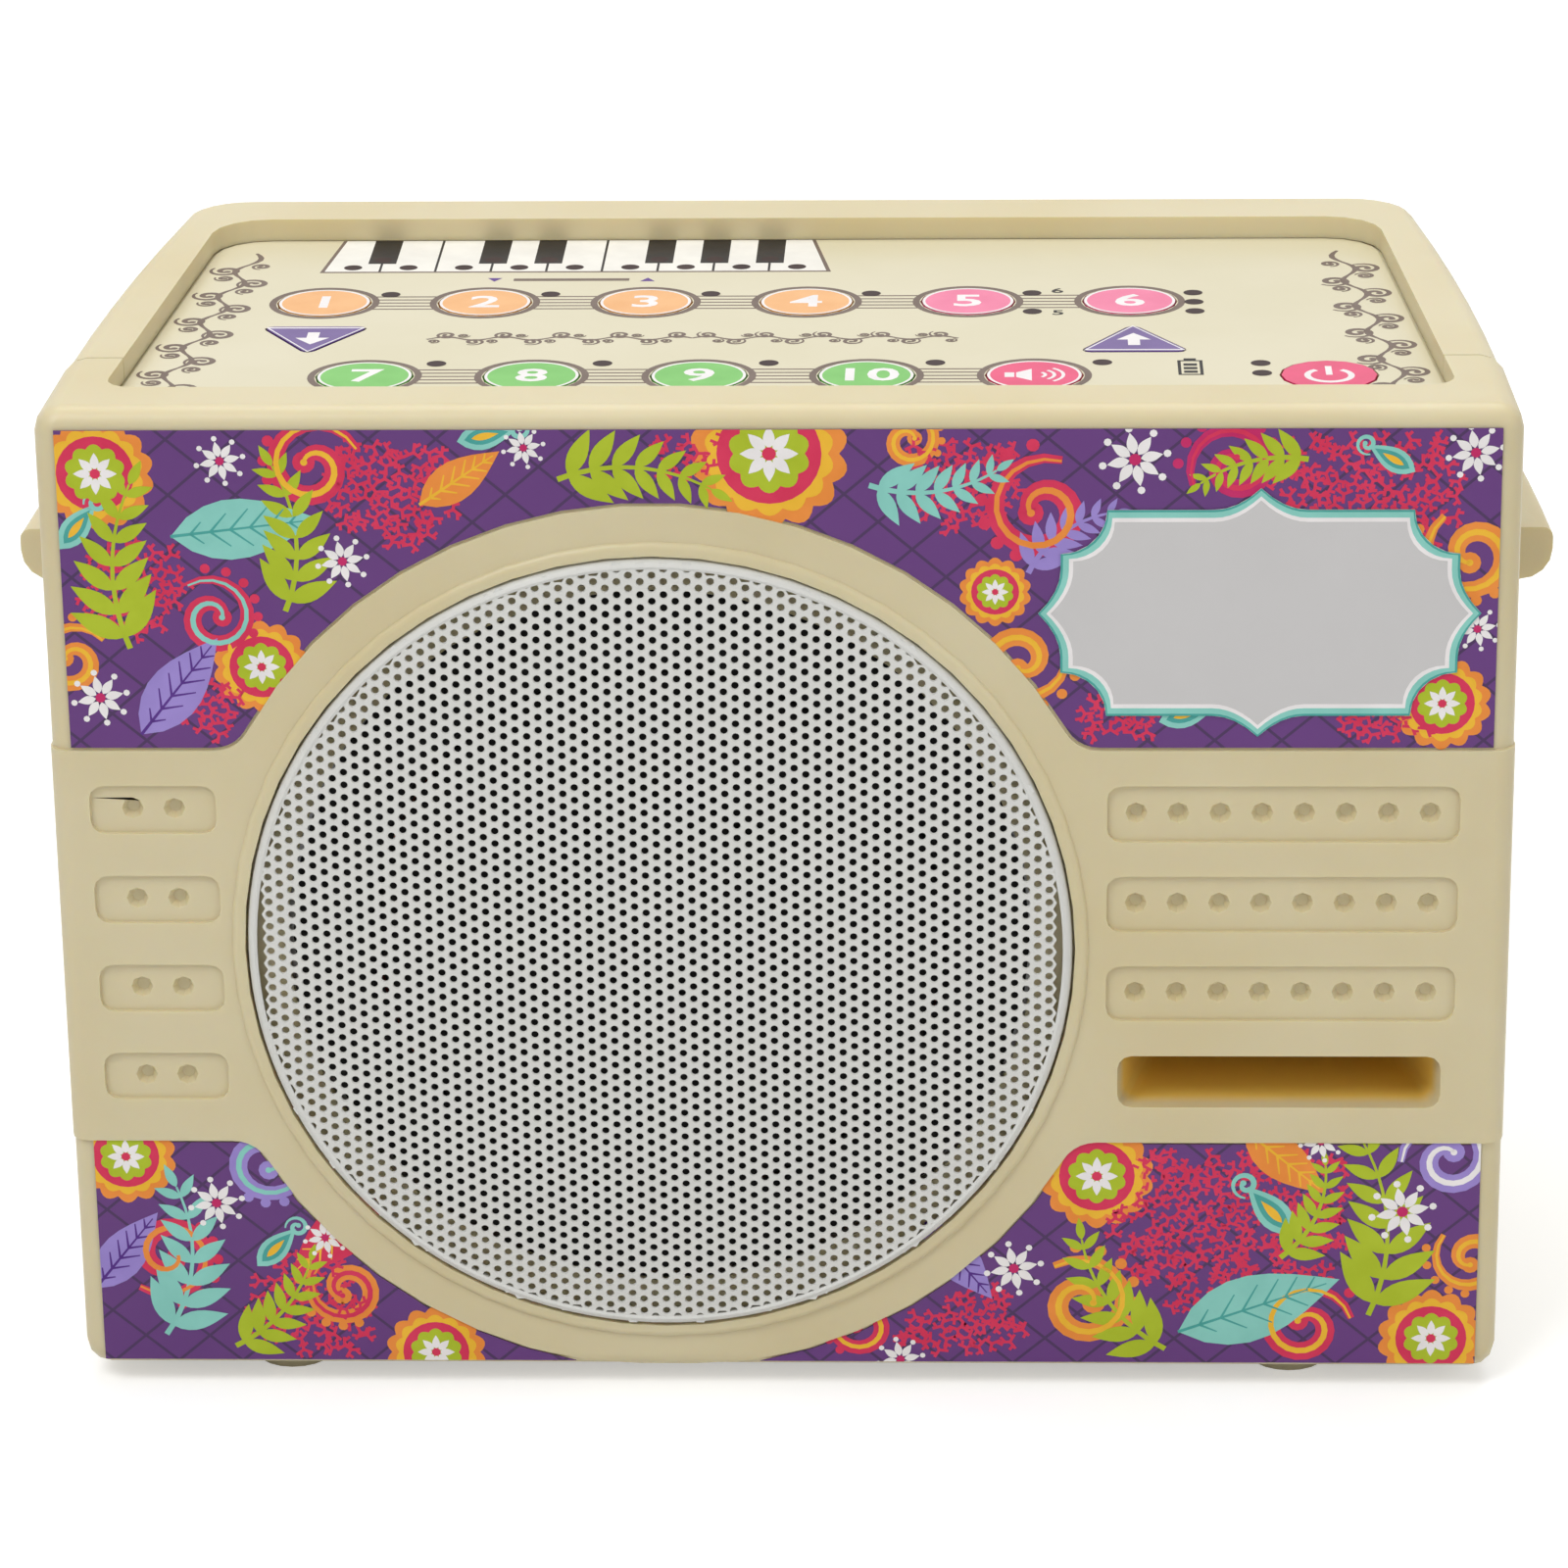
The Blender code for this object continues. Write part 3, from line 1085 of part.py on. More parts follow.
def make_keypad_board():
    """Board under the keys, with a switch for each key, a light for each window and the lead's connector."""
    x0, x1, y0, y1 = KEYPAD_BOARD
    low, high = KEYPAD_BOARD_TOP - BOARD_THICKNESS, KEYPAD_BOARD_TOP
    outline = [(x0, y0), (x1, y0), (x1, y1), (x0, y1)]
    holes = [circle(x, depth, SMALL_SCREW_RADIUS + GAP, SCREW_STEPS) for x, depth in KEYPAD_POSTS]
    board = prism("keypad_board", [outline] + holes, low, high, "above", CIRCUIT_BOARD)
    keys = [(x, depth) for _, x, depth, _ in key_places()] + [DOWN_KEY, UP_KEY]
    half = SWITCH_SIZE / 2
    spans = [
        ((x - half, depth - half, high - OVERLAP), (x + half, depth + half, high + SWITCH_BODY_HEIGHT))
        for x, depth in keys
    ]
    add(board, boxes("switch_bodies", spans))
    starts = [(x, depth, high + SWITCH_BODY_HEIGHT - OVERLAP) for x, depth in keys]
    length = SWITCH_HEIGHT - SWITCH_BODY_HEIGHT + OVERLAP
    add(board, rods("switch_plungers", starts, length, SWITCH_PLUNGER_RADIUS, "up", steps=LIGHT_STEPS))
    starts = [(x, depth, high - OVERLAP) for x, depth in light_places()]
    length = PLATE_TOP - LIGHT_TOP_INSET - high + OVERLAP
    add(board, rods("lights", starts, length, LIGHT_RADIUS, "up", steps=LIGHT_STEPS))
    x, depth = KEYPAD_CONNECTOR
    half_x, half_y = CONNECTOR_SIZE[0] / 2, CONNECTOR_SIZE[1] / 2
    span = ((x - half_x, depth - half_y, low - CONNECTOR_SIZE[2]),
            (x + half_x, depth + half_y, low + OVERLAP))
    add(board, boxes("keypad_connector", [span]))
    for i, (x, depth) in enumerate(KEYPAD_POSTS[:2], 1):
        place = (x, depth, low - GAP)
        screw(f"keypad_screw_{i}", place, "down", SMALL_SCREW_LENGTH, shank=SMALL_SCREW_RADIUS)


# Speaker

def behind(depth):
    """Distance towards the front of a depth behind the speaker flange's front face."""
    return -(FLANGE_FRONT + depth)


def speaker_turned(name, profile, finish, steps=PART_STEPS):
    """Speaker piece from a profile of radius and depth behind the flange's front."""
    return turned(name, [(radius, behind(depth)) for radius, depth in profile],
                  (RING_X, 0, RING_HEIGHT), "front", finish, steps)


def make_basket():
    """Stamped basket: flange, windowed slope, ledge for the spider and seat for the magnet."""
    front, back = FLANGE_FRONT, FLANGE_FRONT + FLANGE_THICKNESS
    size = (2 * FLANGE_HALF, 2 * FLANGE_HALF)
    outline = rectangle(RING_X, RING_HEIGHT, size, FLANGE_CORNER_RADIUS, steps=7)
    holes = [circle(RING_X, RING_HEIGHT, FLANGE_HOLE_RADIUS, PART_STEPS)]
    fit = SCREW_SHANK_RADIUS + GAP
    holes += [circle(x, height, fit, SCREW_STEPS) for x, _, height in speaker_screw_places(0)]
    basket = prism("speaker_basket", [outline] + holes, front, back, "front", STEEL)
    seat = TOP_PLATE_FRONT - FLANGE_FRONT - GAP - BASKET_SHEET / 2
    ledge = SPIDER_DEPTH + GAP + (SPIDER_SHEET + BASKET_SHEET) / 2
    rim = FLANGE_HOLE_RADIUS + BASKET_RIM_LAP
    path = [(rim, FLANGE_THICKNESS / 2), (rim - BASKET_DRAW_IN, BASKET_DRAW_DEPTH)]
    path += [(SPIDER_RADIUS + BASKET_LEDGE_ROOM, ledge - BASKET_LEDGE_RISE)]
    path += [(SPIDER_RADIUS + BASKET_LEDGE_MARGIN, ledge), (BASKET_LEDGE_RADIUS, ledge)]
    path += [(TOP_PLATE_RADIUS - BASKET_SEAT_LAP, seat), (POLE_RADIUS + POLE_GAP + BASKET_HOLE_MARGIN, seat)]
    add(basket, speaker_turned("basket_bowl", sheet(path, BASKET_SHEET), None))
    shape = bmesh.new()
    near, far = SPIDER_RADIUS + BASKET_WINDOW_MARGIN, FLANGE_HALF
    low, high = FLANGE_FRONT + BASKET_WINDOW_START, FLANGE_FRONT + SPIDER_DEPTH - BASKET_WINDOW_MARGIN
    centre = at(RING_X, (low + high) / 2, RING_HEIGHT)
    for i in range(BASKET_WINDOWS):
        turn = Matrix.Rotation(2 * math.pi * (i + 0.5) / BASKET_WINDOWS, 4, "Y")
        size = Matrix.Diagonal((far - near, high - low, BASKET_WINDOW_WIDTH, 1))
        matrix = Matrix.Translation(centre) @ turn @ Matrix.Translation(((near + far) / 2, 0, 0)) @ size
        bmesh.ops.create_cube(shape, size=1, matrix=matrix)
    cut(basket, place("basket_windows", mesh_from("basket_windows", shape)))
    deep, wide, tall = TERMINAL_SIZE
    low = (RING_X + TERMINAL_X - deep / 2, back - OVERLAP, RING_HEIGHT - tall / 2)
    high = (RING_X + TERMINAL_X + deep / 2, back + wide, RING_HEIGHT + tall / 2)
    add(basket, boxes("terminals", [(low, high)]))


def surround_path():
    """Half roll between two lips, bulging towards the front."""
    roll = SURROUND_ROLL_RADIUS
    lip = GAP + SURROUND_SHEET / 2
    inner = CONE_RADIUS + GAP + CONE_SHEET / 4
    middle = (SURROUND_OUTER_RADIUS - SURROUND_LIP + inner) / 2
    path = [(SURROUND_OUTER_RADIUS, -lip)]
    for degrees in (0, 36, 72, 108, 144, 180):
        angle = math.radians(degrees)
        path.append((middle + roll * math.cos(angle), -lip - roll * math.sin(angle)))
    return path + [(inner, -lip)]


def spider_path():
    """Corrugated disc between the coil and the basket's ledge."""
    inner, outer = COIL_RADIUS + GAP, SPIDER_RADIUS
    path = [(outer, SPIDER_DEPTH), (BASKET_LEDGE_RADIUS, SPIDER_DEPTH)]
    for i in range(1, SPIDER_FOLDS):
        wave = SPIDER_WAVE if i % 2 else -SPIDER_WAVE
        path.append((mix(BASKET_LEDGE_RADIUS, inner, i / SPIDER_FOLDS), SPIDER_DEPTH + wave))
    return path + [(inner, SPIDER_DEPTH)]


def make_speaker():
    make_basket()
    neck = COIL_RADIUS + GAP + CONE_SHEET / 2
    cone = [(CONE_RADIUS, -GAP), (mix(neck, CONE_RADIUS, 0.5), CONE_DEPTH * 0.45), (neck, CONE_DEPTH)]
    speaker_turned("speaker_cone", sheet(cone, CONE_SHEET), PAPER)
    rim_depth = mix(CONE_DEPTH, CONE_DEPTH * 0.45, (DUST_CAP_RADIUS - neck) / (CONE_RADIUS - neck) * 2)
    rim_depth -= CONE_SHEET / 2 + DUST_CAP_SHEET / 2 + 2 * GAP
    cap = [
        (DUST_CAP_RADIUS * share, rim_depth - DUST_CAP_RISE * (1 - share ** 2))
        for share in (1.0, 0.75, 0.4, 0.0)
    ]
    speaker_turned("speaker_dust_cap", sheet(cap, DUST_CAP_SHEET), PAPER)
    inner = COIL_RADIUS - COIL_WALL
    wide = COIL_RADIUS + COIL_WINDING
    start, winding = CONE_DEPTH - COIL_LAP, SPIDER_DEPTH + COIL_WINDING_ROOM
    coil = [(inner, start), (COIL_RADIUS, start), (COIL_RADIUS, winding), (wide, winding), (wide, COIL_END)]
    speaker_turned("speaker_voice_coil", coil + [(inner, COIL_END)], CLOTH)
    speaker_turned("speaker_surround", sheet(surround_path(), SURROUND_SHEET), FOAM)
    speaker_turned("speaker_spider", sheet(spider_path(), SPIDER_SHEET), CLOTH)
    gasket_front, gasket_back = -GAP - GASKET_THICKNESS, -GAP
    gasket = [(GASKET_INNER_RADIUS, gasket_front), (GASKET_OUTER_RADIUS, gasket_front)]
    gasket += [(GASKET_OUTER_RADIUS, gasket_back), (GASKET_INNER_RADIUS, gasket_back)]
    speaker_turned("speaker_gasket", gasket, FOAM)
    hole = POLE_RADIUS + POLE_GAP
    speaker_ring("speaker_top_plate", hole, TOP_PLATE_RADIUS, TOP_PLATE_FRONT, TOP_PLATE_THICKNESS, STEEL)
    speaker_ring("speaker_magnet", MAGNET_HOLE_RADIUS, MAGNET_RADIUS, MAGNET_FRONT, MAGNET_THICKNESS, FERRITE)
    pole_front = TOP_PLATE_FRONT - FLANGE_FRONT
    disc_front = YOKE_FRONT - FLANGE_FRONT
    disc_back = disc_front + YOKE_THICKNESS
    yoke = [(0, pole_front), (POLE_RADIUS, pole_front), (POLE_RADIUS, disc_front), (YOKE_RADIUS, disc_front)]
    speaker_turned("speaker_yoke", yoke + [(YOKE_RADIUS, disc_back), (0, disc_back)], STEEL)
    for i, head in enumerate(speaker_screw_places(FLANGE_FRONT + FLANGE_THICKNESS + GAP), 1):
        screw(f"speaker_screw_{i}", head, "back", SPEAKER_SCREW_LENGTH - GAP)


def speaker_ring(name, hole, radius, front, thickness, finish):
    start = front - FLANGE_FRONT
    end = start + thickness
    speaker_turned(name, [(hole, start), (radius, start), (radius, end), (hole, end)], finish)


# Main board, jacks and battery

def make_main_board():
    """Board on the back wall's posts, with its parts facing the speaker."""
    x0, x1, z0, z1 = MAIN_BOARD
    outline = [(x0, z0), (x1, z0), (x1, z1), (x0, z1)]
    holes = [circle(x, height, SMALL_SCREW_RADIUS + GAP, SCREW_STEPS) for x, height in MAIN_POSTS]
    front = MAIN_BOARD_DEPTH
    board = prism("main_board", [outline] + holes, front, MAIN_BOARD_BACK, "front", CIRCUIT_BOARD)
    spans = [board_span(*part) for part in (PROCESSOR, MEMORY_CHIP, AMPLIFIER, CHARGE_COIL, CRYSTAL_BLOCK)]
    spans += [board_span(centre, CONNECTOR_SIZE) for centre in (SPEAKER_PLUG, BATTERY_PLUG, KEYPAD_PLUG)]
    add(board, boxes("board_parts", spans))
    cans = [(x, front + OVERLAP, height) for x, height in CAPACITORS]
    length = CAPACITOR_LENGTH + OVERLAP
    add(board, rods("capacitors", cans, length, CAPACITOR_RADIUS, "front", steps=POST_STEPS))
    for i, (x, height) in enumerate(MAIN_POSTS[:2], 1):
        head = (x, MAIN_BOARD_DEPTH - GAP, height)
        screw(f"main_board_screw_{i}", head, "front", SMALL_SCREW_LENGTH, shank=SMALL_SCREW_RADIUS)


def board_span(centre, size):
    """Box of a component on the main board's front, from its width, height and rise off the board."""
    x, height = centre
    half_x, half_z = size[0] / 2, size[1] / 2
    low = (x - half_x, MAIN_BOARD_DEPTH - size[2], height - half_z)
    return low, (x + half_x, MAIN_BOARD_DEPTH + OVERLAP, height + half_z)


def jack_body(name, x, size):
    """Square body between the main board and the pocket's wall."""
    half = size / 2
    low = (x - half, MAIN_BOARD_BACK + GAP, JACK_HEIGHT - half)
    return boxes(name, [(low, (x + half, JACK_WALL_FRONT - GAP, JACK_HEIGHT + half))], BLACK_PLASTIC)


def make_jacks():
    """Headphone jack with its nut, and the socket for the charger."""
    outer = POCKET_FLOOR + BUSHING_REACH
    start = JACK_WALL_FRONT - GAP - OVERLAP
    phone = jack_body("phone_jack", PHONE_JACK_X, PHONE_BODY_SIZE)
    root = (PHONE_JACK_X, start, JACK_HEIGHT)
    add(phone, rods("phone_bushing", [root], outer - start, PHONE_BUSHING_RADIUS, "back", steps=20))
    mouth = (PHONE_JACK_X, outer + PAST, JACK_HEIGHT)
    cut(phone, rods("phone_bore", [mouth], PHONE_BORE_LENGTH + PAST, PHONE_BORE_RADIUS, "front", steps=20))
    inner = PHONE_BUSHING_RADIUS + GAP
    nut = [circle(PHONE_JACK_X, JACK_HEIGHT, PHONE_NUT_RADIUS, 6)]
    nut += [circle(PHONE_JACK_X, JACK_HEIGHT, inner, 20)]
    nut_front = POCKET_FLOOR + GAP
    prism("phone_jack_nut", nut, nut_front, nut_front + PHONE_NUT_THICKNESS, "front", ZINC)
    power = jack_body("power_jack", POWER_JACK_X, POWER_BODY_SIZE)
    root = (POWER_JACK_X, start, JACK_HEIGHT)
    add(power, rods("power_barrel", [root], outer - start, POWER_BARREL_RADIUS, "back", steps=20))
    bore = [(POWER_PIN_RADIUS, PAST), (POWER_BORE_RADIUS, PAST), (POWER_BORE_RADIUS, -POWER_BORE_LENGTH)]
    bore += [(POWER_PIN_RADIUS, -POWER_BORE_LENGTH)]
    cut(power, turned("power_bore", bore, (POWER_JACK_X, outer, JACK_HEIGHT), "back", steps=16))


def make_battery():
    """Wrapped pack of two cells on a foam pad."""
    x, depth = BATTERY_CENTRE
    length, deep, tall = battery_size()
    pad_low = WALL + FILM_GAP
    pad_high = pad_low + BATTERY_PAD_THICKNESS
    half_x, half_y = length / 2 - BATTERY_PAD_INSET, deep / 2 - BATTERY_PAD_INSET
    pad = ((x - half_x, depth - half_y, pad_low), (x + half_x, depth + half_y, pad_high))
    boxes("battery_pad", [pad], FOAM)
    middle = pad_high + FILM_GAP + tall / 2
    outline = rectangle(depth, middle, (deep, tall), BATTERY_CELL_RADIUS - FILM_GAP, steps=6)
    pack = prism("battery_pack", [outline], x - length / 2, x + length / 2, "side", SHRINK_WRAP)
    smooth(pack.data)


def make_leads():
    """Leads from the speaker, the battery and the keypad to the main board's plugs."""
    plug = MAIN_BOARD_DEPTH - CONNECTOR_SIZE[2] - GAP
    near = plug - 6.0 * MM
    terminal_x = RING_X + TERMINAL_X
    terminal_back = FLANGE_FRONT + FLANGE_THICKNESS + TERMINAL_SIZE[1] + GAP
    speaker = [
        (terminal_x, terminal_back, RING_HEIGHT), (terminal_x, terminal_back + 5 * MM, RING_HEIGHT),
        (46 * MM, 40 * MM, 68 * MM), (36 * MM, 62 * MM, 58 * MM),
        (SPEAKER_PLUG[0] + 3 * MM, near - 6 * MM, SPEAKER_PLUG[1]), (SPEAKER_PLUG[0], near, SPEAKER_PLUG[1]),
        (SPEAKER_PLUG[0], plug, SPEAKER_PLUG[1]),
    ]
    lead("speaker_lead", speaker, SIGNAL_LEAD_RADIUS, RED_LEAD)
    x, depth = BATTERY_CENTRE
    end = x - BATTERY_LENGTH / 2 - GAP
    exit_depth = depth - BATTERY_RIB_LENGTH / 2 - 5 * MM
    height = WALL + 11 * MM
    battery = [
        (end, exit_depth, height), (end - 5 * MM, exit_depth, height), (0, 68 * MM, 24 * MM),
        (BATTERY_PLUG[0] + 2 * MM, near - 5 * MM, BATTERY_PLUG[1] - 3 * MM),
        (BATTERY_PLUG[0], near, BATTERY_PLUG[1]), (BATTERY_PLUG[0], plug, BATTERY_PLUG[1]),
    ]
    lead("battery_lead", battery, SIGNAL_LEAD_RADIUS, RED_LEAD)
    top = KEYPAD_BOARD_TOP - BOARD_THICKNESS - CONNECTOR_SIZE[2] - GAP
    x, depth = KEYPAD_CONNECTOR
    keypad = [
        (x, depth, top), (x, depth, top - 6 * MM),
        (x - 3 * MM, depth - 8 * MM, KEYPAD_PLUG[1] + 30 * MM), (x - 3 * MM, depth - 15 * MM, KEYPAD_PLUG[1] + 12 * MM),
        (KEYPAD_PLUG[0], near, KEYPAD_PLUG[1]), (KEYPAD_PLUG[0], plug, KEYPAD_PLUG[1]),
    ]
    lead("keypad_lead", keypad, RIBBON_LEAD_RADIUS, GREY_LEAD)


def clear_scene():
    for made in list(bpy.data.objects):
        bpy.data.objects.remove(made)
    for name in (COLLECTION, "cutters"):
        bpy.context.scene.collection.children.link(bpy.data.collections.new(name))


def main():
    clear_scene()
    low = BODY_HEIGHT - TOP_WALL - RECESS_SINK
    recess = prism("recess", [recess_outline(0)], low, BODY_HEIGHT + PAST, "above")
    make_front_shell(recess)
    make_rear_shell(recess)
    make_feet()
    make_case_screws()
    make_labels()
    make_grille()
    make_panel()
    make_keys()
    make_keypad_board()
    make_speaker()
    make_main_board()
    make_jacks()
    make_battery()
    make_leads()


if __name__ == "__main__":
    main()
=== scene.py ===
"""Dressed electronic tanpura: finishes, perforated grille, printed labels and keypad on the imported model."""

import json
import math
import random

import bmesh
import bpy
from mathutils import Matrix, Vector

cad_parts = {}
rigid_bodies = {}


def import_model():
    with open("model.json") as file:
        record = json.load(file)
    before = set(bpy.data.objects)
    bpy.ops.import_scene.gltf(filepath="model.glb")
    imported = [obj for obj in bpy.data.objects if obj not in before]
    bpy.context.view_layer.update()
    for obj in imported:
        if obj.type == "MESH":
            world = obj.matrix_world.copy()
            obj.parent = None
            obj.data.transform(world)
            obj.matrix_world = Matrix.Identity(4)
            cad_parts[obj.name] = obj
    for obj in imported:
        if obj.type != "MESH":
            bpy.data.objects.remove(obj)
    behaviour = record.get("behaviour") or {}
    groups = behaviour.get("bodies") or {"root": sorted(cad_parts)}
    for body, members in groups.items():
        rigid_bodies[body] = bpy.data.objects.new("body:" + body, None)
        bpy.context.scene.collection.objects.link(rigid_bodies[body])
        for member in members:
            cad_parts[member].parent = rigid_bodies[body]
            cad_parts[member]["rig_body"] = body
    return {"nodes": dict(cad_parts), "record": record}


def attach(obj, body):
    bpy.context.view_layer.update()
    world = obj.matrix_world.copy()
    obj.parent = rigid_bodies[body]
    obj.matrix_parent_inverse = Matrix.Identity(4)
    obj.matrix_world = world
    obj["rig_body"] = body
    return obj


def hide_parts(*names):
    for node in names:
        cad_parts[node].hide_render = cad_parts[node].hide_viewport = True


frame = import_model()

bl_info = {
    "name": "Electronic Tanpura Dressing",
    "version": (1, 0, 0),
    "blender": (4, 5, 0),
    "location": "View3D > Sidebar > Tanpura",
    "description": "Dresses the moulded drone box with its finishes, grille and prints",
    "category": "Object",
}

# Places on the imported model, in mm from its front, floor and middle
MM = 0.001
MIDDLE_DEPTH = 58.5
FOOT_HEIGHT = 3.0
LABEL_FRONT = -0.3
PLAQUE_FRONT = -0.6
OVERLAY_TOP = 156.35
KEY_TOP = 156.45
RING = (-19.0, 72.7)
LAND_RADIUS = 72.6
LAND_BAND = (39.5, 105.8)
LABEL_HALF_WIDTH = 109
LABEL_LOW, LABEL_HIGH = 1.6, 156.8
PLAQUE_CENTRE = (73.0, 127.6)
PLAQUE_HALF = (30.1, 16.5)
PLAQUE_NOTCH = 7.0
PLAQUE_TIP, PLAQUE_TIP_HALF = 3.4, 7.0
# The port's duct, whose colour is a painted amber glow, in the object's coordinates: low end, high end and
# soft edge on each axis, in metres
PORT_DUCT_PAINTED_GLOW = ((0.0515, 0.1030, 0.0003), (-0.0575, -0.0200, 0.0030), (0.0480, 0.0585, 0.0003))

# Thickness of one coat of ink, its gap to the film, and the steps that keep crossing prints apart
INK = 0.010
INK_GAP = 0.002
INK_STEPS = 61
NO_AREA = 1e-4
# Lace: gap and steps of its twigs, twigs to a square millimetre, turn from one to the next, and its edge
LACE_GAP, LACE_STEPS = 0.003, 23
LACE_DENSITY = 0.62
LACE_TURN = 2.39996
LACE_MARGIN = 1.7
PRINT_MARGIN = -0.6
SCROLL_STEPS = 26
# Lattice of the labels: slant of its lines, and where in a cell a line starts
LATTICE_SLANT, LATTICE_LINE = 0.86, 0.466

# Keypad, with rings and edges as outer and inner radius
KEY_PITCH = 25.94
KEY_ROW_BACK = [(-75.1 + i * KEY_PITCH, 69.4) for i in range(6)]
KEY_ROW_FRONT = [(-64.7 + i * KEY_PITCH, 28.8) for i in range(5)]
POWER_KEY = (84.5, 28.6)
DOWN_KEY = (-75.0, 48.6)
UP_KEY = (54.8, 48.6)
KEY_RING = (8.9, 7.78)
KEY_EDGE = (7.3, 6.85)
FIGURE_SIZE = 9.0
STAFF_STEP, STAFF_HALF_WIDTH, STAFF_REACH = 1.75, 0.27, 8.0
PIANO_X, PIANO_PITCH = -72.5, 9.13
PIANO_FRONT, PIANO_BACK = 87.7, 106.2
WINDOW_RADIUS = 1.55

# Grille: radii and depths in mm, and its rolled rim as radius and depth
GRILLE_FRONT, GRILLE_SINK = -3.95, 2.0
GRILLE_DOME_RADIUS = 61.0
GRILLE_HOLE_REACH = 63.0
GRILLE_COLUMN_REACH, GRILLE_ROWS = 62, 36
HOLE_EDGE, HOLE_DEPTH = 0.1, 0.35
GRILLE_RIM = ((62.5, -1.3), (62.5, -1.95), (62.9, -2.15), (63.4, -2.0), (63.8, -1.5), (64.0, -0.8),
              (64.0, 1.2), (63.4, 1.2), (63.3, -0.6))
RIM_STEPS = 128

# Mesh clean-up
WELD = 0.000002
GRILLE_WELD = 0.00002
FLAT_ANGLE = math.radians(0.4)
BEVEL_ANGLE = math.radians(35)
SHELL_SMOOTH, PIECE_SMOOTH, GRILLE_SMOOTH = 32, 40, 50

# Stage: name, place, power and size of each lamp, and the camera
LAMPS = (("key_light", (-0.8, -1.1, 1.8), 19.5, 0.9), ("fill_light", (1.3, -1.2, 0.9), 6.0, 1.2),
         ("top_light", (0.1, 0.5, 1.7), 13.0, 1.2))
LAMP_AIM = Vector((0, 0, 0.08))
WORLD_LIGHT = 0.36
FLOOR_GLOW = 0.42
CAMERA_PLACE = (0.0326, -0.930764, 0.433970)
CAMERA_YAW, CAMERA_PITCH, CAMERA_ROLL = math.radians(2.10), math.radians(20.78), math.radians(-0.735)
CAMERA_LENS = 139.6

NODES = frame["nodes"]
SLOTS = {part["node"]: part["material_slot"] for part in frame["record"]["subparts"]}
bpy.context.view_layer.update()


# Colours and nodes

def linear(code):
    """Linear colour of an sRGB hex value."""
    parts = [int(code[i:i + 2], 16) / 255 for i in (1, 3, 5)]
    return (*[part / 12.92 if part <= 0.04045 else ((part + 0.055) / 1.055) ** 2.4 for part in parts], 1.0)


def add_node(tree, kind, settings=None, inputs=None):
    """Adds a node with its settings, and its inputs as values or as sockets to link."""
    made = tree.nodes.new(kind)
    for key, value in (settings or {}).items():
        setattr(made, key, value)
    for key, value in (inputs or {}).items():
        if isinstance(value, bpy.types.NodeSocket):
            tree.links.new(value, made.inputs[key])
        else:
            made.inputs[key].default_value = value
    return made


def calculate(tree, operation, first, second=0.0):
    """Result of one arithmetic step on values or sockets."""
    return add_node(tree, "ShaderNodeMath", {"operation": operation}, {0: first, 1: second}).outputs[0]


def mix_colours(tree, factor, first, second):
    """Colour between two, by a factor."""
    mixed = add_node(tree, "ShaderNodeMix", {"data_type": "RGBA"}, {"Factor": factor, 6: first, 7: second})
    return mixed.outputs[2]


def noise(tree, place, scale, detail):
    made = add_node(tree, "ShaderNodeTexNoise", None, {"Vector": place, "Scale": scale, "Detail": detail})
    return made.outputs["Fac"]


def new_material(name):
    made = bpy.data.materials.new(name)
    made.use_nodes = True
    made.node_tree.nodes.clear()
    return made, made.node_tree


def close_material(tree, colour, roughness, bump=None, metallic=0.0, extra=None):
    inputs = {"Base Color": colour, "Roughness": roughness, "Metallic": metallic, **(extra or {})}
    if bump is not None:
        inputs["Normal"] = bump
    shader = add_node(tree, "ShaderNodeBsdfPrincipled", None, inputs)
    add_node(tree, "ShaderNodeOutputMaterial", None, {"Surface": shader.outputs["BSDF"]})


def inside_box(tree, place, spans):
    """Factor that is 1 inside a box of coordinates in metres and fades to 0 over each axis's soft edge."""
    axes = add_node(tree, "ShaderNodeSeparateXYZ", None, {"Vector": place})
    factor = 1.0
    for axis, (low, high, soft) in zip("XYZ", spans):
        for end, full in ((low, low + soft), (high, high - soft)):
            ramp = add_node(tree, "ShaderNodeMapRange", None, {
                "Value": axes.outputs[axis], "From Min": end, "From Max": full})
            factor = calculate(tree, "MULTIPLY", ramp.outputs[0], factor)
    return factor


def surface(name, code, shade, roughness, blotch_mm, grain_mm, grain_depth_mm,
            metallic=0.0, extra=None, inside=None):
    """Finish with a slow drift between two shades, an uneven gloss and a fine grain.

    inside is a painted glow: another colour, standing in for light bounced inside the case, and the box that
    it fills.
    """
    made, tree = new_material(name)
    place = add_node(tree, "ShaderNodeTexCoord").outputs["Object"]
    blotch = noise(tree, place, 1000 / blotch_mm, 4.0)
    drift = add_node(tree, "ShaderNodeMapRange", None, {"Value": blotch, "From Min": 0.35, "From Max": 0.65})
    colour = mix_colours(tree, drift.outputs["Result"], linear(code), linear(shade))
    # Painted glow: the duct's box turns amber in place of light bounced inside the case.
    if inside:
        colour = mix_colours(tree, inside_box(tree, place, inside[1]), colour, linear(inside[0]))
    gloss = add_node(tree, "ShaderNodeMapRange", None, {
        "Value": blotch, "To Min": roughness - 0.05, "To Max": roughness + 0.05})
    bump = add_node(tree, "ShaderNodeBump", None, {
        "Strength": 0.6, "Distance": grain_depth_mm * MM, "Height": noise(tree, place, 1000 / grain_mm, 2.0)})
    close_material(tree, colour, gloss.outputs["Result"], bump.outputs["Normal"], metallic, extra)
    return made


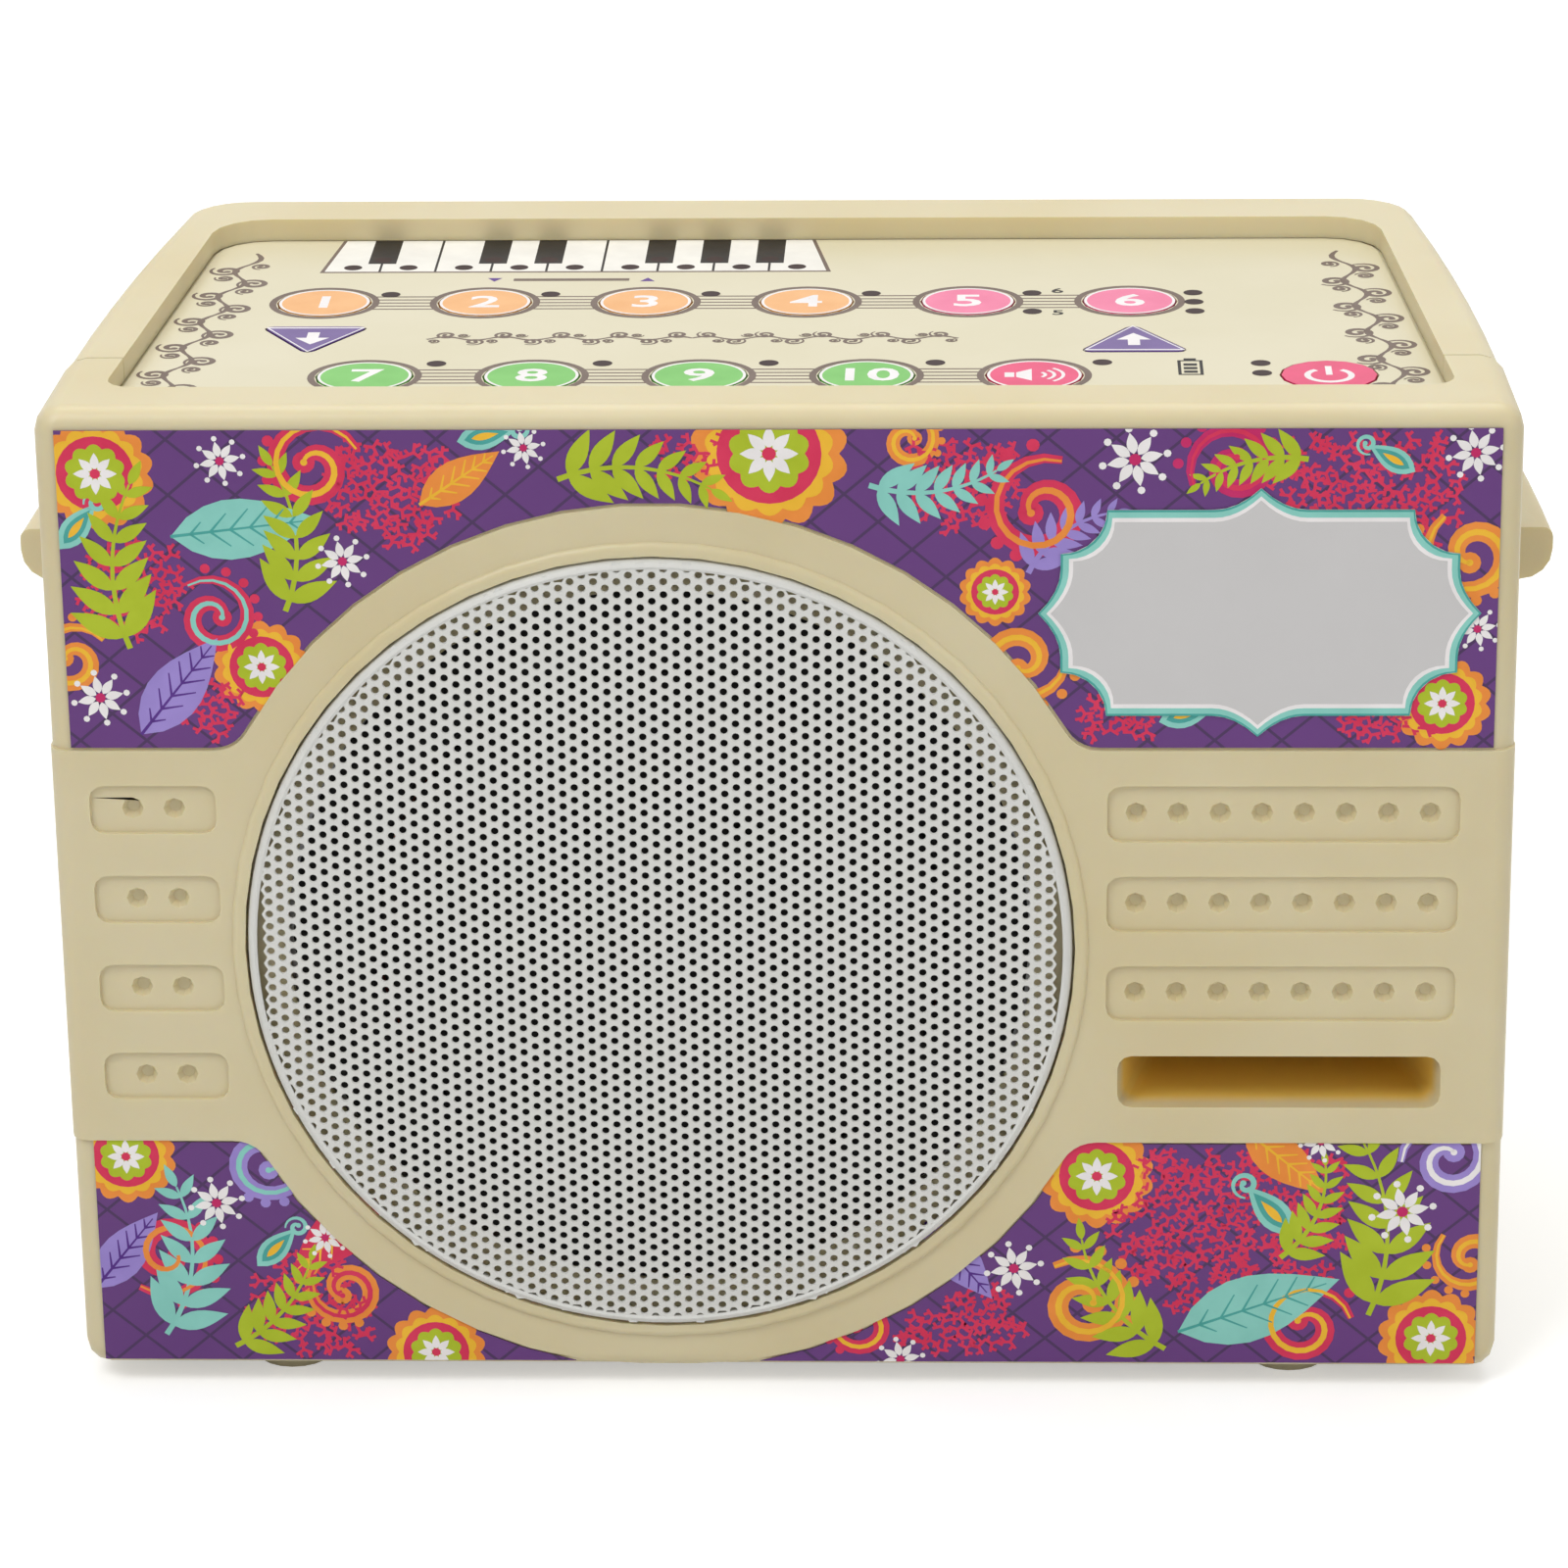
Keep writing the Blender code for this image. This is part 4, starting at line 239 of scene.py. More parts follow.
def lattice_film(pitch):
    """Printed vinyl film, satin laminate: a violet ground under a darker diamond lattice."""
    made, tree = new_material("printed_vinyl_satin_laminate")
    place = add_node(tree, "ShaderNodeTexCoord").outputs["Object"]
    axes = add_node(tree, "ShaderNodeSeparateXYZ", None, {"Vector": place})
    lines = []
    for way in ("ADD", "SUBTRACT"):
        value = calculate(tree, "MULTIPLY", axes.outputs["X"], LATTICE_SLANT)
        value = calculate(tree, way, value, axes.outputs["Z"])
        value = calculate(tree, "MULTIPLY", value, 1 / pitch)
        value = calculate(tree, "SUBTRACT", calculate(tree, "FRACT", value), 0.5)
        lines.append(calculate(tree, "ABSOLUTE", value))
    line = calculate(tree, "GREATER_THAN", calculate(tree, "MAXIMUM", *lines), LATTICE_LINE)
    ground = mix_colours(tree, noise(tree, place, 30.0, 3.0), linear("#54206C"), linear("#61297B"))
    close_material(tree, mix_colours(tree, line, ground, linear("#380F4C")), 0.34)
    return made


def woven(name, code, shade, pitch_mm):
    """Open weave of resin-treated threads, crossing at right angles, with painted shade in the low parts
    between the threads.
    """
    made, tree = new_material(name)
    place = add_node(tree, "ShaderNodeTexCoord").outputs["Object"]
    waves = [add_node(tree, "ShaderNodeTexWave", {"bands_direction": way}, {
        "Vector": place, "Scale": 314 / pitch_mm}).outputs["Fac"] for way in ("X", "Z")]
    weave = calculate(tree, "MULTIPLY", *waves)
    bump = add_node(tree, "ShaderNodeBump", None, {"Distance": 0.1 * MM, "Height": weave})
    # Painted shade: the darker colour fills the low parts of the weave, between the threads.
    colour = mix_colours(tree, weave, linear(shade), linear(code))
    close_material(tree, colour, 0.85, bump.outputs["Normal"])
    return made


FINISHES = {}


def finish(name):
    """The material of this name, made once."""
    if name not in FINISHES:
        FINISHES[name] = RECIPES[name]() if name in RECIPES else surface(*PLAIN_FINISHES[name])
    return FINISHES[name]


def settings():
    return bpy.context.scene.tanpura


RECIPES = {
    # Injection-moulded ABS, fine spark-eroded mould: satin, some light let through. The amber in the port's
    # duct is a painted glow, standing in for light bounced and let through inside the case.
    "moulded_abs": lambda: surface(
        "moulded_abs_satin", settings().case_colour, "#D2C49B", 0.40, 35, 0.5, 0.010, 0.0,
        {"Subsurface Weight": 0.25, "Subsurface Radius": (1.0, 0.6, 0.2), "Subsurface Scale": 0.004},
        ("#EFCB66", PORT_DUCT_PAINTED_GLOW)),
    # Printed vinyl film of the front labels, under a satin laminate.
    "printed_label": lambda: lattice_film(settings().lattice_pitch),
    # Perforated mild steel, powder coated: a slightly pebbled matt skin.
    "painted_grille": lambda: surface(
        "steel_powder_coated", settings().grille_colour, "#D8D8D3", 0.48, 12, 0.35, 0.01),
    # Cotton cloth stiffened with resin.
    "woven_cloth": lambda: woven("cotton_woven_resined", "#A07B4C", "#6E5230", 0.8),
}

# Name, two shades, roughness, size of the drift and of the grain in mm, depth of the grain in mm, metal
PLAIN_FINISHES = {
    # Pearl-grey printed film of the plaque, under clear laminate.
    "printed_plaque": ("printed_vinyl_pearl", "#CAC8C7", "#C8C6C5", 0.33, 20, 0.8, 0.003),
    # Polycarbonate membrane, screen printed from behind: fine velvet face.
    "printed_overlay": ("polycarbonate_screen_printed", "#DAD2B4", "#D6CEAE", 0.33, 30, 0.5, 0.004),
    # Printed polycarbonate in the keys' colours.
    "orange_key": ("polycarbonate_orange", "#EFB068", "#E9A65C", 0.3, 8, 0.5, 0.004),
    "pink_key": ("polycarbonate_pink", "#EE709B", "#E66692", 0.3, 8, 0.5, 0.004),
    "green_key": ("polycarbonate_green", "#6CC14C", "#62B743", 0.3, 8, 0.5, 0.004),
    "magenta_key": ("polycarbonate_magenta", "#E51B68", "#DA1660", 0.3, 8, 0.5, 0.004),
    "purple_key": ("polycarbonate_violet", "#5A3489", "#522E7F", 0.3, 8, 0.5, 0.004),
    # Injection-moulded black PBT, dull.
    "black_plastic": ("moulded_pbt_black", "#262628", "#1F1F21", 0.5, 6, 0.4, 0.01),
    # Zinc-plated pressed steel, faintly streaked.
    "stamped_steel": ("steel_pressed_zinc", "#B9BABB", "#A9AAAC", 0.34, 9, 0.7, 0.004, 1.0),
    # Zinc-plated turned steel.
    "plated_screw": ("steel_turned_zinc", "#C3C4C2", "#B2B3B0", 0.28, 3, 0.3, 0.004, 1.0),
    # Felted paper pulp: soft fibrous black.
    "pressed_paper": ("paper_felted", "#1D1B1A", "#141312", 0.85, 3, 0.25, 0.05),
    # Sintered ferrite: dull dark grey with a granular face.
    "ferrite": ("ferrite_sintered", "#3A3A3B", "#303031", 0.7, 4, 0.4, 0.02),
    # Open-cell foam rubber.
    "foam": ("foam_rubber_cut", "#2E2E2E", "#232323", 0.95, 2, 0.5, 0.12),
    # Glass laminate under green solder resist.
    "circuit_board": ("laminate_solder_resist", "#22703F", "#1B6036", 0.38, 3, 0.6, 0.01),
    # Heat-shrunk PVC film on the cells.
    "shrink_wrap": ("pvc_heat_shrunk", "#2C62A8", "#255697", 0.3, 15, 4.0, 0.1),
    # PVC-insulated leads.
    "lead_red": ("pvc_extruded_red", "#B8281F", "#A6221A", 0.42, 6, 0.5, 0.01),
    "lead_grey": ("pvc_extruded_grey", "#8C8C8E", "#7F7F81", 0.42, 6, 0.5, 0.01),
    # Moulded thermoplastic rubber.
    "foot_rubber": ("rubber_moulded_pale", "#C9BF9F", "#BEB494", 0.75, 5, 0.4, 0.02),
}

INKS = {
    "crimson": "#DB3A5E", "orange": "#F09343", "gold": "#F4BE3B", "lime": "#B3C431", "aqua": "#8FD2C6",
    "teal": "#4FA79F", "lavender": "#A08CD2", "white": "#F3EFEE", "coral": "#C92F6B",
    "umber": "#74645A", "black": "#1C1716", "paper": "#F2EFE6", "window": "#260608", "violet": "#5A3489",
}


def ink(name):
    """Screen ink: an even opaque coat with a little drift in its density and a weak sheen."""
    key = "ink_" + name
    if key not in FINISHES:
        code = INKS[name]
        parts = [max(0, int(code[i:i + 2], 16) - 8) for i in (1, 3, 5)]
        shade = "#%02X%02X%02X" % tuple(parts)
        FINISHES[key] = surface(
            "screen_ink_" + name, code, shade, 0.45, 6, 0.5, 0.002, 0.0, {"Specular IOR Level": 0.2})
    return FINISHES[key]


# Shapes

def top_at(x, depth, height):
    """World place of a point of the keypad's print."""
    return Vector((x, depth - MIDDLE_DEPTH, height + FOOT_HEIGHT)) * MM


def front_at(x, height, depth):
    """World place of a point of the front print."""
    return top_at(x, depth, height)


def spot(x, y, radius, steps=20):
    angles = [2 * math.pi * i / steps for i in range(steps)]
    return [(x + radius * math.cos(a), y + radius * math.sin(a)) for a in angles]


def scallop(x, y, radius, lobes, depth):
    """Disc with a lobed edge."""
    steps = lobes * 6
    outline = []
    for i in range(steps):
        angle = 2 * math.pi * i / steps
        reach = radius * (1 - depth + depth * abs(math.sin(angle * lobes / 2)))
        outline.append((x + reach * math.cos(angle), y + reach * math.sin(angle)))
    return outline


def petal(x, y, length, width, angle, start=0.0):
    """Leaf shape from a point along an angle."""
    cos, sin = math.cos(angle), math.sin(angle)
    side = []
    for i in range(9):
        t = i / 8
        side.append((start + length * t, width / 2 * math.sin(math.pi * t ** 0.8)))
    outline = side + [(a, -b) for a, b in side[-2:0:-1]]
    return [(x + a * cos - b * sin, y + a * sin + b * cos) for a, b in outline]


def ribbon(points, widths):
    """Quads along a path, with a width at each point."""
    sides = []
    for i, (x, y) in enumerate(points):
        x0, y0 = points[max(i - 1, 0)]
        x1, y1 = points[min(i + 1, len(points) - 1)]
        run = math.hypot(x1 - x0, y1 - y0) or 1.0
        nx, ny = -(y1 - y0) / run * widths[i] / 2, (x1 - x0) / run * widths[i] / 2
        sides.append(((x + nx, y + ny), (x - nx, y - ny)))
    return [[a[0], b[0], b[1], a[1]] for a, b in zip(sides, sides[1:])]


def band(outer, inner):
    """Quads between two outlines of as many points."""
    count = len(outer)
    return [[outer[i], outer[(i + 1) % count], inner[(i + 1) % count], inner[i]] for i in range(count)]


def scroll(x, y, radius, angle, width, hand=1, turns=1.35):
    """Tapered spiral from its outer end to a round eye."""
    path, widths = [], []
    for i in range(SCROLL_STEPS + 1):
        t = i / SCROLL_STEPS
        reach = radius * (1 - 0.8 * t)
        turn = angle + hand * 2 * math.pi * turns * t
        path.append((x + reach * math.cos(turn), y + reach * math.sin(turn)))
        widths.append(width * (0.12 + 0.88 * math.sin(math.pi * min(1, 0.08 + 0.75 * i / SCROLL_STEPS))))
    return ribbon(path, widths) + [spot(*path[-1], width * 0.55, 12)]


def arc(x, y, radius, start, step, count):
    """Points along a circle, by equal steps in degrees."""
    turns = [math.radians(start + step * i) for i in range(count)]
    return [(x + radius * math.cos(t), y + radius * math.sin(t)) for t in turns]


def add_slab(shape, near, far):
    """Closed slab between a near and a far outline."""
    near, far = [[shape.verts.new(place) for place in side] for side in (near, far)]
    shape.faces.new(near)
    shape.faces.new(far[::-1])
    for a in range(len(near)):
        b = (a + 1) % len(near)
        shape.faces.new((near[b], near[a], far[a], far[b]))


def print_mesh(groups, to_world, level, lift):
    """Closed thin prints: each outline is a slab lifted by its layer, no two faces level where they cross."""
    shape = bmesh.new()
    for i, (outline, layer) in enumerate(groups):
        low = level - lift * (INK_GAP + layer * INK)
        high = low - lift * (INK / 2 + (i % INK_STEPS) * INK / 130)
        area = sum(a[0] * b[1] - b[0] * a[1] for a, b in zip(outline, outline[1:] + outline[:1]))
        if abs(area) < NO_AREA:
            continue
        if area < 0:
            outline = outline[::-1]
        add_slab(shape, *[[to_world(x, y, side) for x, y in outline] for side in (high, low)])
    return shape


def as_mesh(name, shape):
    """Mesh of a finished bmesh, which is freed."""
    mesh = bpy.data.meshes.new(name)
    shape.to_mesh(mesh)
    shape.free()
    return mesh


def finish_piece(name, shape, material, body, smooth=None):
    """Turns a bmesh into a piece that rides on a body."""
    bmesh.ops.triangulate(shape, faces=[face for face in shape.faces if len(face.verts) > 4])
    return finish_mesh(name, as_mesh(name, shape), material, body, smooth)


def linked(name, data):
    """New object in the scene."""
    made = bpy.data.objects.new(name, data)
    bpy.context.scene.collection.objects.link(made)
    return made


def finish_mesh(name, mesh, material, body, smooth=None, replaced=None):
    if smooth is not None:
        mesh.shade_smooth()
        mesh.set_sharp_from_angle(angle=math.radians(smooth))
    mesh.materials.clear()
    mesh.materials.append(material)
    piece = linked(name, mesh)
    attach(piece, body)
    if replaced:
        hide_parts(replaced)
    return piece


def clip(shape, planes):
    """Cuts a print along straight label edges and closes it again."""
    for place, normal in planes:
        geometry = shape.verts[:] + shape.edges[:] + shape.faces[:]
        made = bmesh.ops.bisect_plane(
            shape, geom=geometry, plane_co=place, plane_no=normal, clear_outer=True)
        edges = [item for item in made["geom_cut"] if isinstance(item, bmesh.types.BMEdge)]
        bmesh.ops.holes_fill(shape, edges=[edge for edge in edges if edge.is_valid], sides=0)


def applied(guide):
    """Mesh of an object with its modifiers applied; the object itself is removed."""
    bpy.context.view_layer.update()
    graph = bpy.context.evaluated_depsgraph_get()
    mesh = bpy.data.meshes.new_from_object(guide.evaluated_get(graph))
    bpy.data.objects.remove(guide)
    return mesh


def with_modifier(mesh, kind, values):
    """The mesh that one modifier makes of this one."""
    guide = linked("guide", mesh)
    modifier = guide.modifiers.new("guide", kind)
    for key, value in values.items():
        setattr(modifier, key, value)
    return applied(guide)


def smooth_copy(node, angle=PIECE_SMOOTH, bevel_mm=0.0):
    """Dressed copy of a CAD node: welded, its flat faces joined, its edges eased and shaded smooth."""
    source = NODES[node]
    shape = bmesh.new()
    shape.from_mesh(source.data)
    bmesh.ops.remove_doubles(shape, verts=shape.verts, dist=WELD)
    bmesh.ops.dissolve_limit(shape, angle_limit=FLAT_ANGLE, verts=shape.verts, edges=shape.edges)
    mesh = as_mesh(node + "_dressed", shape)
    if bevel_mm:
        mesh = with_modifier(mesh, "BEVEL", {
            "width": bevel_mm * MM, "segments": 2, "limit_method": "ANGLE", "angle_limit": BEVEL_ANGLE,
            "loop_slide": False})
    mesh.shade_smooth()
    mesh.set_sharp_from_angle(angle=math.radians(angle))
    mesh = with_modifier(mesh, "WEIGHTED_NORMAL", {"mode": "FACE_AREA", "weight": 80, "keep_sharp": True})
    slot = SLOTS[node]
    return finish_mesh(node + "_dressed", mesh, finish(slot), source["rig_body"], None, node)


def scatter_tree():
    """Geometry Nodes that put one shape on every point, weld what meets and set the finish."""
    tree = bpy.data.node_groups.new("repeat_on_points", "GeometryNodeTree")
    for name, kind, way in (
        ("Geometry", "NodeSocketGeometry", "INPUT"), ("Shape", "NodeSocketObject", "INPUT"),
        ("Finish", "NodeSocketMaterial", "INPUT"), ("Weld Distance", "NodeSocketFloat", "INPUT"),
        ("Turn", "NodeSocketFloat", "INPUT"), ("Seed", "NodeSocketInt", "INPUT"),
        ("Geometry", "NodeSocketGeometry", "OUTPUT"),
    ):
        tree.interface.new_socket(name, in_out=way, socket_type=kind)
    given = add_node(tree, "NodeGroupInput")
    shape = add_node(tree, "GeometryNodeObjectInfo", None, {"Object": given.outputs["Shape"]})
    turn = add_node(tree, "FunctionNodeRandomValue", {"data_type": "FLOAT"}, {
        2: 0.0, 3: given.outputs["Turn"], "Seed": given.outputs["Seed"]})
    turned = add_node(tree, "ShaderNodeCombineXYZ", None, {"Y": turn.outputs[1]})
    placed = add_node(tree, "GeometryNodeInstanceOnPoints", None, {
        "Points": given.outputs["Geometry"], "Instance": shape.outputs["Geometry"],
        "Rotation": turned.outputs["Vector"]})
    real = add_node(tree, "GeometryNodeRealizeInstances", None, {"Geometry": placed.outputs["Instances"]})
    welded = add_node(tree, "GeometryNodeMergeByDistance", None, {
        "Geometry": real.outputs["Geometry"], "Distance": given.outputs["Weld Distance"]})
    dressed = add_node(tree, "GeometryNodeSetMaterial", None, {
        "Geometry": welded.outputs["Geometry"], "Material": given.outputs["Finish"]})
    add_node(tree, "NodeGroupOutput", None, {"Geometry": dressed.outputs["Geometry"]})
    return tree


def repeat(name, places, shape_mesh, material, weld, turn, seed):
    """Mesh of one shape repeated on world places by the Geometry Nodes tree."""
    tree = bpy.data.node_groups.get("repeat_on_points") or scatter_tree()
    shape = linked(name + "_shape", shape_mesh)
    points = bpy.data.meshes.new(name + "_points")
    points.from_pydata(places, [], [])
    guide = linked(name + "_guide", points)
    modifier = guide.modifiers.new("repeat", "NODES")
    modifier.node_group = tree
    values = {"Shape": shape, "Finish": material, "Weld Distance": weld, "Turn": turn, "Seed": seed}
    for item in tree.interface.items_tree:
        if item.in_out == "INPUT" and item.name in values:
            modifier[item.identifier] = values[item.name]
    mesh = applied(guide)
    bpy.data.objects.remove(shape)
    return mesh


# Front print

def rosette(art, x, y, r):
    """Scalloped medallion in rings of colour."""
    art["orange"].append((scallop(x, y, r, 14, 0.12), 1))
    art["gold"].append((scallop(x, y, r * 0.82, 14, 0.1), 2))
    art["crimson"].append((spot(x, y, r * 0.66, 28), 3))
    art["lime"].append((scallop(x, y, r * 0.52, 10, 0.14), 4))
    for i in range(8):
        art["white"].append((petal(x, y, r * 0.3, r * 0.15, math.pi * i / 4, r * 0.07), 5))
    art["crimson"].append((spot(x, y, r * 0.09, 10), 6))


def daisy(art, x, y, r):
    for i in range(8):
        angle = math.pi * i / 4 + 0.2
        art["white"].append((petal(x, y, r * 0.62, r * 0.3, angle, r * 0.16), 5))
        tip = (x + r * 0.9 * math.cos(angle), y + r * 0.9 * math.sin(angle))
        art["white"].append((spot(*tip, r * 0.11, 8), 5))
    art["coral"].append((spot(x, y, r * 0.17, 10), 6))


def spray(art, x, y, length, angle, bend, colour, leaves=7):
    """Bending stem with paired leaves."""
    path = []
    for i in range(leaves * 2 + 1):
        t = i / (leaves * 2)
        path.append((x, y))
        step = length / (leaves * 2)
        turn = angle + bend * t
        x, y = x + step * math.cos(turn), y + step * math.sin(turn)
    widths = [0.9 - 0.6 * i / len(path) for i in range(len(path))]
    art[colour] += [(quad, 3) for quad in ribbon(path, widths)]
    for i in range(leaves):
        px, py = path[i * 2 + 1]
        turn = angle + bend * (i * 2 + 1) / (leaves * 2)
        size = length * (0.34 - 0.2 * i / leaves)
        for side in (-1, 1):
            art[colour].append((petal(px, py, size, size * 0.36, turn + side * 0.85), 4))
    art[colour].append((petal(*path[-1], length * 0.16, length * 0.06, angle + bend), 4))


def feather(art, x, y, length, angle, colour, vein):
    """Broad leaf with veins."""
    art[colour].append((petal(x, y, length, length * 0.42, angle), 3))
    cos, sin = math.cos(angle), math.sin(angle)
    end = (x + length * 0.92 * cos, y + length * 0.92 * sin)
    art[vein] += [(q, 4) for q in ribbon([(x, y), end], [0.5, 0.2])]
    for i in range(1, 7):
        t = i / 7.5
        px, py = x + length * t * cos, y + length * t * sin
        reach = length * 0.19 * math.sin(math.pi * t ** 0.8)
        for side in (-1, 1):
            turn = angle + side * 0.75
            tip = (px + reach * math.cos(turn), py + reach * math.sin(turn))
            art[vein] += [(q, 4) for q in ribbon([(px, py), tip], [0.4, 0.2])]


def curl(art, x, y, r, angle, hand, outer, inner):
    """Fat scroll with a lighter line along it and beads outside."""
    art[outer] += [(q, 2) for q in scroll(x, y, r, angle, r * 0.42, hand)]
    art[inner] += [(q, 4) for q in scroll(x, y, r * 0.98, angle, r * 0.13, hand)]
    for i in range(7):
        turn = angle + hand * (0.5 + i * 0.42)
        reach = r * (1.22 - 0.045 * i)
        art[outer].append((spot(x + reach * math.cos(turn), y + reach * math.sin(turn), r * 0.12, 10), 2))


def drop(art, x, y, r, angle):
    """Curved drop, as on printed shawls."""
    art["aqua"].append((petal(x, y, r * 2.4, r * 1.1, angle), 3))
    art["teal"].append((petal(x, y, r * 1.8, r * 0.66, angle, r * 0.3), 4))
    art["gold"].append((petal(x, y, r * 1.1, r * 0.3, angle, r * 0.6), 5))
    tip = (x + r * 2.5 * math.cos(angle), y + r * 2.5 * math.sin(angle))
    art["aqua"] += [(q, 3) for q in scroll(*tip, r * 0.5, angle + 2.4, r * 0.2, -1)]


# Places of the motifs on the labels, in mm: x, height and size, then angle, bend or hand, and inks
LACE = ((88, 147, 15), (-58, 148, 10), (28, 150, 9), (93, 108, 9), (70, 28, 19), (-76, 10, 10), (28, 6, 10),
        (52, 112, 6), (-98, 132, 8), (-86, 110, 7), (-14, 155, 6))
ROSETTES = ((-1, 153, 12), (-103, 150, 9), (-79, 119, 7.5), (101, 113, 7.5), (49, 34, 9), (-56, 3, 8),
            (102, 6, 8.5), (-104, 37, 8), (33, 131, 5.5))
DAISIES = ((54, 152, 5.5), (-104, 114, 4.6), (-66, 136, 4.2), (105, 153, 4.6), (36, 18, 4.8), (97, 28, 5.4),
           (-90, 29, 4.6), (-73, 23, 3.6), (106, 125, 3.6), (-38, 154, 3.4), (-84, 152, 4), (84, 40, 3.6),
           (18, 2, 4))
SPRAYS = ((-99, 122, 27, 1.9, -0.8, "lime"), (-75, 128, 24, 1.2, 0.9, "lime"),
          (-33, 149, 24, 0.35, -0.9, "lime"), (14, 148, 20, -0.3, 0.9, "aqua"),
          (92, 10, 31, 1.2, 0.9, "lime"), (60, 4, 24, 2.6, -0.9, "lime"), (-99, 6, 27, 1.0, 1.0, "aqua"),
          (38, 134, 17, 1.1, -1.0, "lavender"), (-88, 4, 20, 0.5, 0.8, "lime"),
          (-70, 112, 15, 0.9, -0.8, "aqua"), (80, 152, 17, 3.0, 0.8, "lime"), (78, 20, 18, 0.7, 1.0, "lime"))
FEATHERS = ((-92, 140, 23, 0.12, "aqua", "teal"), (-98, 108, 20, 0.9, "lavender", "violet"),
            (62, 7, 27, 0.35, "aqua", "teal"), (-64, 30, 20, -2.4, "crimson", "gold"),
            (22, 26, 17, -0.9, "lavender", "violet"), (72, 42, 17, -0.7, "orange", "gold"),
            (-54, 145, 15, 0.6, "orange", "gold"), (-110, 14, 17, 0.9, "lavender", "violet"))
CURLS = ((-70, 151, 7.5, 0.4, 1, "crimson", "gold"), (-86, 127, 6.5, 2.2, -1, "crimson", "aqua"),
         (40, 144, 8.5, 1.2, 1, "crimson", "orange"), (69, 151, 7, 3.6, -1, "coral", "crimson"),
         (105, 137, 7.5, 2.2, 1, "orange", "gold"), (37, 120, 7, 0.2, -1, "orange", "gold"),
         (-98, 20, 7.5, 4.0, 1, "crimson", "orange"), (82, 8, 7.5, 0.2, 1, "crimson", "gold"),
         (47, 12, 8, 2.2, -1, "orange", "gold"), (104, 37, 7.5, 3.2, -1, "lavender", "white"),
         (-82, 36, 7, 1.0, -1, "lavender", "aqua"), (12, 8, 6, 1.0, 1, "crimson", "gold"),
         (-108, 120, 6, 0.6, 1, "orange", "gold"), (-70, 14, 6.5, 2.0, 1, "orange", "crimson"),
         (20, 155, 5, 2.6, -1, "orange", "gold"), (108, 20, 6, 2.4, 1, "orange", "gold"))
DROPS = ((-48, 155, 3.8, 0.2), (-109, 138, 3.8, 0.9), (58, 110, 3.8, 0.3), (80, 24, 4.6, 2.3),
         (-84, 18, 3.8, 0.8), (96, 150, 3.4, 2.6))


def front_art():
    """Every front motif, by ink."""
    art = {name: [] for name in INKS}
    for motif, places in ((rosette, ROSETTES), (daisy, DAISIES), (spray, SPRAYS), (feather, FEATHERS),
                          (curl, CURLS), (drop, DROPS)):
        for place in places:
            motif(art, *place)
    return art


def branch_mesh():
    """Small forked twig of the lace, flat in the front plane."""
    shape = bmesh.new()
    arms = [((0, 0), (0, 1.5)), ((0, 0), (1.25, -0.8)), ((0, 0), (-1.25, -0.8)), ((0, 0.8), (0.9, 1.5)),
            ((0.7, -0.45), (1.4, 0.25)), ((-0.7, -0.45), (-1.4, 0.2))]
    for k, (a, b) in enumerate(arms):
        run = math.hypot(b[0] - a[0], b[1] - a[1])
        nx, ny = -(b[1] - a[1]) / run * 0.24, (b[0] - a[0]) / run * 0.24
        corners = [(a[0] + nx, a[1] + ny), (a[0] - nx, a[1] - ny)]
        corners += [(b[0] - nx, b[1] - ny), (b[0] + nx, b[1] + ny)]
        top = -(1 + k / 12) * INK * MM
        add_slab(shape, *[[(x * MM, side, y * MM) for x, y in corners] for side in (top, 0)])
    bmesh.ops.recalc_face_normals(shape, faces=shape.faces)
    return as_mesh("twig", shape)


def over_land(x, z, margin):
    """True where the raised land, or the label's outside, covers this point of the front."""
    if abs(x) > LABEL_HALF_WIDTH - margin or z > LABEL_HIGH - margin or z < LABEL_LOW + margin:
        return True
    if math.hypot(x - RING[0], z - RING[1]) < LAND_RADIUS + margin:
        return True
    return LAND_BAND[0] - margin < z < LAND_BAND[1] + margin


def plaque_outline(grow):
    """Plaque with hollowed corners and pointed tips, grown or shrunk all round."""
    half_x, half_z = PLAQUE_HALF[0] + grow, PLAQUE_HALF[1] + grow
    notch_radius = PLAQUE_NOTCH + grow * 0.4
    notch = []
    for i in range(9):
        angle = -math.pi / 2 - math.pi / 2 * i / 8
        notch.append((half_x + notch_radius * math.cos(angle), half_z + notch_radius * math.sin(angle)))
    shares = [1 - i / 6 for i in range(7)]
    side = [(half_x + PLAQUE_TIP * share ** 2, PLAQUE_TIP_HALF * (1 - share)) for share in shares]
    over = [(PLAQUE_TIP_HALF * (1 - share), half_z + PLAQUE_TIP * share ** 2) for share in shares[::-1]]
    quarter = side + notch + over
    outline = []
    for across, along, way in ((1, 1, 1), (-1, 1, -1), (-1, -1, 1), (1, -1, -1)):
        outline += [(PLAQUE_CENTRE[0] + across * a, PLAQUE_CENTRE[1] + along * b)
                    for a, b in quarter[::way][:-1]]
    return outline


# Keypad print

def light_places():
    """Light windows beside the keys."""
    lights = []
    for i, count in enumerate((1, 1, 1, 1, 2, 3)):
        step = 5.25 if count == 3 else 10.5
        lights += [(KEY_ROW_BACK[i][0] + 10.3, 74.2 - j * step) for j in range(count)]
    lights += [(x + 10.6, 35.6) for x, _ in KEY_ROW_FRONT]
    return lights + [(74.2, 35.0), (74.2, 29.75)]


def piano_lights():
    """Light windows on the keyboard drawing's white and black keys."""
    whites = [(PIANO_X + i * PIANO_PITCH, 90.0) for i in range(9)]
    return whites + [(PIANO_X + i * PIANO_PITCH, 94.6) for i in (0.5, 2.5, 3.5, 5.5, 6.5, 7.5)]


def box_outline(x0, x1, y0, y1):
    return [(x0, y0), (x1, y0), (x1, y1), (x0, y1)]


